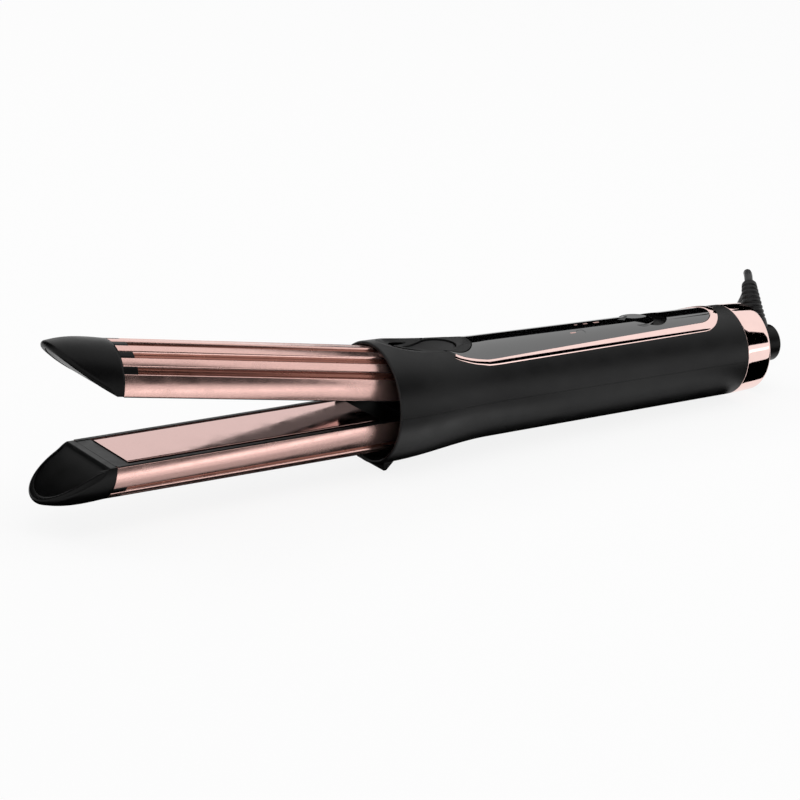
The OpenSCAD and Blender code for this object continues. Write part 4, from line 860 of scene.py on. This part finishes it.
@dataclass
class Handle:
    """The two housings with the control panel, its metal trim and its marks."""

    behind: float = 20.9
    at_ring: float = 19.3
    length: float = 178.5
    flare: float = 3.3
    flare_from: float = 5.0
    flare_len: float = 47.0
    panel_from: tuple[Pair, ...] = ((29.5, 9.5), (31.5, 11.0), (34.7, 12.5), (40.0, 13.4), (46.0, 13.9))
    panel_rear_r: float = 9.7
    trim_from: tuple[Pair, ...] = ((28.0, 10.2), (31.0, 13.4), (36.0, 14.8), (46.0, 15.8))
    trim_rear_r: float = 13.4
    rear_x: float = 158.3
    lamp_sink: float = 0.1
    mark_rise: float = 0.015

    def radius(self, x: np.ndarray) -> np.ndarray:
        """Outer radius of the handle at x: an even taper and a flare towards the mouth."""
        run = self.length - self.flare_from - self.flare_len
        taper = self.behind + (self.at_ring - self.behind) * (x - self.flare_from - self.flare_len) / run
        return taper + self.flare * (1 - smooth((x - self.flare_from) / self.flare_len))

    def over_skin(self, xy: Points, lift: float | np.ndarray) -> Points:
        """Points over the handle's skin at places [x, y] seen from above, lifted out from the axis."""
        return with_z(xy, np.sqrt((self.radius(xy[..., 0]) + lift) ** 2 - xy[..., 1] ** 2))

    def skin_normals(self, p: Points) -> Points:
        """Outward directions of the surface of revolution at points of the handle's own frame."""
        slope = (self.radius(p[:, 0] + 0.05) - self.radius(p[:, 0] - 0.05)) / 0.1
        return unit(with_x(-slope, unit(p[:, 1:])))

    def true_normals(self, made: bpy.types.Object, sink: float = 0.0) -> None:
        """Gives the corners that lie on the handle's outer skin the skin's own directions.

        Args:
            made: A piece cut from the handle's skin.
            sink: How far below the skin its surface lies.
        """
        mesh = made.data
        co, normal, flat = (np.empty(len(some) * 3) for some in (mesh.vertices, mesh.loops, mesh.polygons))
        vert = np.empty(len(mesh.loops), int)
        mesh.vertices.foreach_get("co", co)
        mesh.corner_normals.foreach_get("vector", normal)
        mesh.polygons.foreach_get("normal", flat)
        mesh.loops.foreach_get("vertex_index", vert)
        p = STANCE.into_handle(co.reshape(-1, 3))
        skin = STANCE.turned(self.skin_normals(p))[vert]
        face_of = np.repeat(np.arange(len(mesh.polygons)), [len(f.vertices) for f in mesh.polygons])
        near = np.abs(np.hypot(p[:, 1], p[:, 2]) - self.radius(p[:, 0]) + sink) < 0.08
        on_skin = near[vert] & ((flat.reshape(-1, 3)[face_of] * skin).sum(axis=1) > 0.97)
        whole = np.bincount(face_of, weights=~on_skin)[face_of] == 0
        normal = normal.reshape(-1, 3)
        normal[whole] = skin[whole]
        mesh.normals_split_custom_set(normal.tolist())

    def outline(self, front: tuple[Pair, ...], rear_r: float, share: np.ndarray) -> Points:
        """Half an outline seen from above, [x, y], from the front round to the rear end.

        A smooth curve through the front points, a straight side and a quarter circle.

        Args:
            front: The points of the curve at the front.
            rear_r: The radius of the quarter circle.
            share: The shares of the line's length at which its points are wanted.

        Returns:
            The points.
        """
        lead = along(np.array(front), 0.8)
        side = np.linspace(lead[-1], [self.rear_x, rear_r], 40)[1:-1]
        rear = [self.rear_x, 0.0] + rear_r * circle(np.linspace(np.pi / 2, 0, 40))
        return respaced(np.concatenate([lead, side, rear]), share)

    def trim(self, start: float = 0.0, end: float = 1.0, height: float = 0.5) -> Shape:
        """A run of the metal trim: a crowned strip between its outline and the panel's.

        Across, from the outer line to the inner one, the strip's height over the
        handle's skin is a half round, and its two sides go down into the
        housing. Each height is measured out from the handle's axis.

        Args:
            start: The share of the outline where the run starts.
            end: The share where it ends; at 1 it joins its mirror image.
            height: The crown's height.

        Returns:
            The run and its mirror image.
        """
        outer = self.outline(self.trim_from, self.trim_rear_r, np.linspace(start, end, 190))
        line = self.outline(self.panel_from, self.panel_rear_r, np.linspace(0, 1, 900))
        nearest = np.argmin(np.linalg.norm(outer[:, None] - line[None], axis=-1), axis=1)
        inner = line[np.maximum.accumulate(nearest)] + [[0.0, 0.06]]
        s = np.linspace(0, 1, 17)
        crown = height * (1 - np.abs(2 * s - 1) ** 2) ** 0.5
        across = np.concatenate([[0.0], s, [1.0]])[None, :, None]
        lift = np.concatenate([[-1.1], crown - 0.03, [-1.1]])
        near = self.over_skin(outer[:, None] * (1 - across) + inner[:, None] * across, lift)
        far = near[::-1] * [1, -1, 1]
        if end < 1.0:
            return joined([skin_of_rings(STANCE.handle(half)) for half in (near, far)])
        return skin_of_rings(STANCE.handle(np.concatenate([near, far[1:]])))

    def mark(self, line: list[Pair], width: float) -> Shape:
        """A printed stroke on the panel: a thin band with round ends along a line seen from above."""
        path = along(np.array(line), 0.25)
        side = unit(np.gradient(path, axis=0))[:, ::-1] * [-1, 1] * width / 2
        s = run_along(path)
        ends = np.clip(np.minimum(s, s[-1] - s) / (width / 2), 0.02, 1)
        side = side * np.sqrt(1 - (1 - ends) ** 2)[:, None]
        corners = ((side, -0.03), (side, self.mark_rise), (-side, self.mark_rise), (-side, -0.03))
        rings = np.stack([self.over_skin(path + way, lift) for way, lift in corners], axis=1)
        return skin_of_rings(STANCE.handle(rings))

    def build(self) -> None:
        """Makes the housings, panel, trim and marks, and dresses what is inside."""
        for name, source, finish, slot, sink in (
                ("upper_housing_shell", "upper_housing", SOFT_BLACK, "black_plastic", 0.0),
                ("lower_housing_shell", "lower_housing", SOFT_BLACK, "black_plastic", 0.0),
                ("gloss_panel", "control_panel", GLOSS_BLACK, "gloss_panel", 0.0),
                ("lamp_lens", "indicator_lens", GLOSS_BLACK, "gloss_panel", self.lamp_sink)):
            self.true_normals(piece(name, of_node(source), finish, Body.HOUSING, (source,), 28), sink)
        piece("panel_surround", self.trim(0.027), ROSE_CHROME, Body.HOUSING, ("panel_trim",), 50)
        piece("trim_roots", self.trim(0.0, 0.0268, 0.03), SOFT_BLACK, Body.HOUSING)
        strokes = [self.mark([(92.5, -6.3), (94.0, -6.3), (95.5, -6.3)], 0.7)]
        for k, x in enumerate((99.0, 103.6, 108.8)):
            half = 0.8 + 0.35 * k
            strokes.append(self.mark([(x, 0.0), (x + half, 0.0), (x + 2 * half, 0.0)], 0.55 + 0.2 * k))
        piece("panel_marks", joined(strokes), MARK_INK, Body.HOUSING)
        for name, finish in INNER.items():
            dress(name, finish)


# ----------------------------------------------------------------- controls


@dataclass
class DishedKey:
    """A drop-shaped key or knob whose face follows a shallow dish, rounded at its rim.

    middle, radius and reach give the drop's circle and how far from it the point is,
    dish_x, dish_z and dish_r the dish's lowest place and radius, and low the foot.
    """

    name: str
    source: str
    body: Body
    finish: Finish
    middle: float
    radius: float
    reach: float
    dish_x: float
    dish_z: float
    dish_r: float
    low: float
    rim: float = 0.45
    point_r: float = 0.5

    def outline(self) -> tuple[Points, Points]:
        """The drop seen from above, [x, y], and its outward directions.

        A circle's arc whose two ends run as tangents to a rounded point at the reach.
        """
        open_by = math.acos(self.radius / self.reach)
        turn = math.pi - open_by
        arc_n, tip_n = circle(np.linspace(-turn, turn, 120)), circle(np.linspace(turn, math.pi + open_by, 15))
        arc = self.radius * arc_n
        tip = [-self.reach + self.point_r / math.cos(open_by), 0.0] + self.point_r * tip_n
        t = np.linspace(0, 1, 30)[1:-1, None]
        near = arc[-1] * (1 - t) + tip[0] * t
        place = np.concatenate([arc, near, tip, (near * [1, -1])[::-1]])
        out = np.concatenate([arc_n, np.tile(arc_n[-1], (len(t), 1)), tip_n, np.tile(arc_n[0], (len(t), 1))])
        return place + [self.middle, 0], out

    def face(self, xy: Points) -> np.ndarray:
        """Height of the dish at places seen from above."""
        away = (xy[..., 0] - self.dish_x) ** 2 + xy[..., 1] ** 2
        return self.dish_z + self.dish_r - np.sqrt(self.dish_r**2 - away)

    def build(self) -> None:
        """Makes rings from the key's foot up its side, over its rounded rim and in over its face."""
        place, out = self.outline()
        rings = [with_z(place, self.low), with_z(place, self.face(place) - self.rim)]
        for a in np.linspace(0, np.pi / 2, 7)[1:]:
            xy = place - out * self.rim * (1 - math.cos(a))
            rings.append(with_z(xy, self.face(xy) - self.rim * (1 - math.sin(a))))
        inner = rings[-1][:, :2]
        for t in np.linspace(0, 0.97, 14)[1:]:
            xy = inner * (1 - t) + np.array([self.middle, 0.0]) * t
            rings.append(with_z(xy, self.face(xy)))
        shape = skin_of_rings(STANCE.handle(np.stack(rings)))
        piece(self.name, shape, self.finish, self.body, (self.source,), 40)


# -------------------------------------------------------------- rear swivel


@dataclass
class RearSwivel:
    """The metal end ring, the cap behind it, the turning hub and the strain relief.

    Each profile is a list of corners [x, r, rounding] round the handle's axis.
    """

    ring: tuple[Triple, ...] = (
        (170.5, 15.3, 0.1), (170.5, 17.1, 0.1), (178.55, 17.1, 0.1), (178.55, 19.28, 0.3), (184.5, 19.16, 4.0),
        (191.5, 18.72, 1.6), (191.5, 16.98, 0.4), (184.0, 16.95, 0.1), (184.0, 15.2, 0.1))
    cap: tuple[Triple, ...] = (
        (184.0, 5.1, 0.1), (184.0, 8.2, 0.1), (188.0, 8.2, 0.1), (188.0, 14.9, 0.1), (184.0, 14.9, 0.1),
        (184.0, 16.88, 0.1), (190.6, 16.88, 0.4), (190.3, 15.8, 0.5), (190.5, 9.0, 0.3), (190.5, 5.1, 0.1))
    hub: tuple[Triple, ...] = (
        (191.8, 0.01, 0.001), (191.8, 7.9, 0.35), (193.4, 8.0, 0.1), (193.6, 7.75, 0.05), (193.9, 7.75, 0.05),
        (194.1, 8.0, 0.1), (205.9, 7.9, 0.9), (206.0, 0.01, 0.001))
    shaft: tuple[Triple, ...] = ((175.5, 2.2, 0.1), (175.5, 5.0, 0.2), (191.9, 5.0, 0.1), (191.9, 2.2, 0.1))
    hub_middle: float = 199.1
    lean: float = math.radians(21)
    away: Triple = (0.66, 0.70, -0.27)
    root: float = 5.0
    root_r: float = 5.5
    tip_r: float = 3.2
    straight: float = 14.0
    bend_r: float = 17.0
    bend: float = math.radians(45)
    ridge_pitch: float = 1.9
    ridge_depth: float = 0.36
    rings: int = 320
    places: int = 56

    @staticmethod
    def turned(profile: tuple[Triple, ...], places: int) -> Shape:
        """A profile, its corners rounded, turned once round the handle's axis."""
        points, faces = revolved(rounded_path(profile), places)
        return STANCE.handle(points), faces

    def relief_path(self) -> Points:
        """The relief's middle line: straight out of the hub, then an even bend away and behind."""
        out = np.array([0.0, math.sin(self.lean), math.cos(self.lean)])
        away = np.array(self.away)
        away = unit(away - out * away.dot(out))
        s = np.linspace(self.root, self.straight, 40)[:-1, None]
        a = np.linspace(0, self.bend, 60)[:, None]
        bent = out * (self.straight + self.bend_r * np.sin(a)) + away * self.bend_r * (1 - np.cos(a))
        return np.concatenate([out * s, bent]) + [self.hub_middle, 0, 0]

    def relief(self) -> Shape:
        """The strain relief: a tapered sleeve with slanting ridges.

        Its radius falls evenly from root to tip, less a groove's depth times a
        rounded wave of the distance along it plus a share of the turn round it; the
        grooves run out at a plain collar at each end.
        """
        path, share = self.relief_path(), np.linspace(0, 1, self.rings)
        run = run_along(path)[-1]
        s = share[:, None] * run
        turn = np.linspace(0, 1, self.places, endpoint=False)[None]
        base = self.root_r + (self.tip_r - self.root_r) * np.clip((s - 3) / (run - 3), 0, 1)
        wave = 0.5 + 0.5 * np.cos(2 * np.pi * (s / self.ridge_pitch + turn))
        hold = smooth((s - 5.0) / 1.2) * smooth((run - 1.6 - s) / 1.0)
        end = 0.5 * (1 - np.sqrt(1 - np.clip((s - run + 0.6) / 0.6, 0, 1) ** 2))
        radii = base - self.ridge_depth * hold * wave**2 - end
        side = STANCE.turned(np.array([1.0, 0.0, 0.0]))
        return tube(STANCE.handle(respaced(path, share)), radii * MM, self.places, side)

    def build(self) -> None:
        """Makes the ring, the cap, the hub and the relief."""
        hub = joined([self.turned(self.hub, 96), self.turned(self.shaft, 64)])
        piece("rear_ring", self.turned(self.ring, 160), ROSE_CHROME, Body.HOUSING, ("end_ring",), 40)
        piece("ring_cap", self.turned(self.cap, 128), SATIN_BLACK, Body.HOUSING, ("rear_cap",), 40)
        piece("turning_hub", hub, SATIN_BLACK, Body.SWIVEL, ("swivel_hub",), 40)
        piece("ridged_relief", self.relief(), SOFT_BLACK, Body.SWIVEL, ("strain_relief",), 60)


# ------------------------------------------------------------------- studio


@dataclass
class Studio:
    """The camera, the white floor and world, plain soft lamps, and cards that only reflections see, which paint shade
    and highlights into the metal.

    A lamp is its place, width, height and power. An upright card stands along the X
    axis and is its x from and to, y, z from and to, and level; a lying one is on the
    floor and is its x from and to, y from and to, and level. Levels go from 0 for
    black to 1 for the white of the room, and over it for a painted highlight, a
    glowing strip that lights nothing.
    """

    place: Triple = (-0.693626, -1.023932, 0.448436)
    right: Triple = (0.836737, -0.547252, 0.01966)
    up: Triple = (0.162941, 0.283087, 0.945152)
    ahead: Triple = (0.522802, 0.78764, -0.326039)
    lens: float = 145.437
    world_level: float = 0.65
    floor_half: float = 6.0
    floor_z: float = -0.0004
    floor_glow: float = 0.86

    LAMPS: ClassVar[dict[str, tuple]] = {
        "key_lamp": ((0.35, -0.3, 1.15), 1.2, 1.3, 5.0), "rear_lamp": ((-0.5, 1.2, 1.1), 1.0, 0.5, 4.0)}
    # Upright cards, seen only in reflections: black ones that paint dark bands into the shells, panel, ring and tips,
    # and a glowing strip low in front that paints the long highlight along the upper shell and lights nothing.
    UPRIGHT: ClassVar[dict[str, tuple]] = {
        "front_card": (-0.3, 1.1, -0.6, 0.21, 1.48, 0.0), "rear_card": (0.52, 0.75, 0.3, 0.04, 0.42, 0.0),
        "panel_card": (0.19, 0.52, 0.3, 0.04, 0.3, 0.0), "tip_card": (-0.6, -0.12, 0.3, 0.05, 0.7, 0.0),
        "painted_highlight_strip": (-0.3, 1.1, -0.6, 0.01, 0.09, 1.6)}
    # Lying cards, seen only in reflections: a dim one that darkens the floor in front, a glowing strip that paints the
    # highlight along the lower shell, a half-dark and a black one that paint the styler's shadow under it, and a black
    # one that darkens the ring's reflection.
    LYING: ClassVar[dict[str, tuple]] = {
        "low_card": (-0.3, 0.08, -0.16, -0.048, 0.1), "painted_low_highlight": (-0.3, 0.05, -0.043, -0.034, 1.9),
        "shade_card": (-0.3, 0.15, -0.026, -0.017, 0.5), "painted_shadow_card": (-0.3, 0.15, -0.017, 0.06, 0.0),
        "ring_card": (0.155, 0.3, -0.055, -0.016, 0.0)}
    # A dim card between the arms, in the lower arm's frame, that paints the shaded underside of the upper arm into the
    # lower plate's reflection.
    PAINTED_GAP_SHADE: ClassVar[tuple[Triple, ...]] = (
        (-150.0, 22.0, -18.5), (-20.0, 22.0, -1.0), (-20.0, 22.0, -20.0), (-150.0, 22.0, -36.0))
    PAINTED_GAP_SHADE_LEVEL: ClassVar[float] = 0.14

    @staticmethod
    def stand(made: bpy.types.Object, right: Points, up: Points, back: Points, place: Triple) -> None:
        """Links an object that looks against back, its picture or face upright along up."""
        made.matrix_world = Matrix([[right[k], up[k], back[k], place[k]] for k in range(3)] + [[0, 0, 0, 1]])
        bpy.context.scene.collection.objects.link(made)

    def camera(self) -> None:
        """Sets the camera where the view was taken from."""
        data = bpy.data.cameras.new("camera")
        data.lens, data.sensor_width, data.clip_end = self.lens, 36.0, 20.0
        made = bpy.data.objects.new("camera", data)
        self.stand(made, self.right, self.up, [-c for c in self.ahead], self.place)
        bpy.context.scene.camera = made

    def lamp(self, name: str, place: Triple, wide: float, high: float, power: float) -> None:
        """A soft rectangular lamp that faces the styler and isn't seen in its metal."""
        data = bpy.data.lights.new(name, "AREA")
        data.shape, data.size, data.size_y, data.energy = "RECTANGLE", wide, high, power
        made = bpy.data.objects.new(name, data)
        away = unit(np.array(place))
        side = unit(np.cross([0.0, 0.0, 1.0], away))
        self.stand(made, side, np.cross(away, side), away, place)
        made.visible_glossy = False

    @staticmethod
    def seen(tree: Tree) -> Socket:
        """1 for camera, glossy and transmission rays."""
        rays = node(tree, "ShaderNodeLightPath").outputs
        total = rays["Is Camera Ray"]
        for name in ("Is Glossy Ray", "Is Transmission Ray"):
            either = node(tree, "ShaderNodeMath", {0: total, 1: rays[name]})
            either.operation, either.use_clamp = "MAXIMUM", True
            total = either.outputs[0]
        return total

    def surround(self) -> None:
        """A world that is white where it is seen and gives a plain even light."""
        world = bpy.data.worlds.new("studio_white")
        world.use_nodes = True
        tree = world.node_tree
        level = node(tree, "ShaderNodeMapRange", {"Value": self.seen(tree), "To Min": self.world_level, "To Max": 1.0})
        wired(tree, tree.nodes["Background"], {"Strength": level.outputs["Result"], "Color": (1, 1, 1, 1)})
        world.cycles.sampling_method = "NONE"
        bpy.context.scene.world = world

    @staticmethod
    def sheet(name: str, corners: list[Triple], material: str) -> tuple[bpy.types.Object, Tree]:
        """A four-cornered sheet, staged beside the styler, and its material's tree without a shader."""
        mesh = bpy.data.meshes.new(name)
        mesh.from_pydata(corners, [], [(0, 1, 2, 3)])
        made = bpy.data.objects.new(name, mesh)
        bpy.context.scene.collection.objects.link(made)
        paint = bpy.data.materials.new(material)
        paint.use_nodes = True
        paint.node_tree.nodes.remove(paint.node_tree.nodes["Principled BSDF"])
        mesh.materials.append(paint)
        return made, paint.node_tree

    def floor(self) -> None:
        """A wide white floor that keeps a faint shadow of the styler."""
        h, z = self.floor_half, self.floor_z
        _, tree = self.sheet("studio_floor", [(-h, -h, z), (h, -h, z), (h, h, z), (-h, h, z)], "studio_floor_white")
        plain = node(tree, "ShaderNodeBsdfDiffuse", {"Color": (0.9, 0.9, 0.9, 1)})
        share = node(tree, "ShaderNodeMapRange", {"Value": self.seen(tree), "To Max": self.floor_glow})
        both = node(tree, "ShaderNodeMixShader", {"Fac": share.outputs["Result"], 1: plain.outputs[0],
                                                  2: node(tree, "ShaderNodeEmission").outputs[0]})
        wired(tree, tree.nodes["Material Output"], {"Surface": both.outputs[0]})

    def card(self, name: str, corners: list[Triple], level: float) -> None:
        """A card that only reflections see and that casts no light or shadow: painted shade where it is dark, a
        painted highlight where it glows.
        """
        made, tree = self.sheet(name, corners, name)
        glow = node(tree, "ShaderNodeEmission", {"Strength": level})
        wired(tree, tree.nodes["Material Output"], {"Surface": glow.outputs[0]})
        made.visible_camera = made.visible_diffuse = made.visible_shadow = made.visible_transmission = False

    def build(self) -> None:
        """Sets the lamps, cards, floor and world."""
        bpy.context.scene.view_settings.view_transform = "Standard"
        self.surround()
        self.floor()
        for name, lamp in self.LAMPS.items():
            self.lamp(name, *lamp)
        for name, (x0, x1, y, z0, z1, level) in self.UPRIGHT.items():
            self.card(name, [(x0, y, z0), (x1, y, z0), (x1, y, z1), (x0, y, z1)], level)
        for name, (x0, x1, y0, y1, level) in self.LYING.items():
            self.card(name, [(x0, y0, 0.0), (x1, y0, 0.0), (x1, y1, 0.0), (x0, y1, 0.0)], level)
        # The painted shade between the arms, seen only in the lower plate.
        self.card("painted_gap_shade_card", STANCE.arm(Side.LOWER, np.array(self.PAINTED_GAP_SHADE)).tolist(), self.PAINTED_GAP_SHADE_LEVEL)


def main() -> None:
    """Builds the studio and the styler, sub-assembly by sub-assembly."""
    studio = Studio()
    studio.camera()
    MainsCord().build()
    ClampArm(Side.UPPER, Body.UPPER_ARM, 22.2).build()
    ClampArm(Side.LOWER, Body.HOUSING, 20.0).build()
    Handle().build()
    DishedKey("thumb_pad", "thumb_key", Body.THUMB_KEY, SOFT_BLACK, middle=30.4, radius=7.6, reach=16.4,
              dish_x=29.4, dish_z=19.5, dish_r=82.0, low=17.0).build()
    DishedKey("heat_knob", "slider_knob", Body.SLIDER, GLOSS_BLACK, middle=131.0, radius=7.7, reach=9.2,
              dish_x=130.0, dish_z=18.0, dish_r=26.0, low=17.3).build()
    RearSwivel().build()
    studio.build()


if __name__ == "__main__":
    logging.basicConfig(level=logging.INFO, format="%(name)s: %(message)s")
    main()
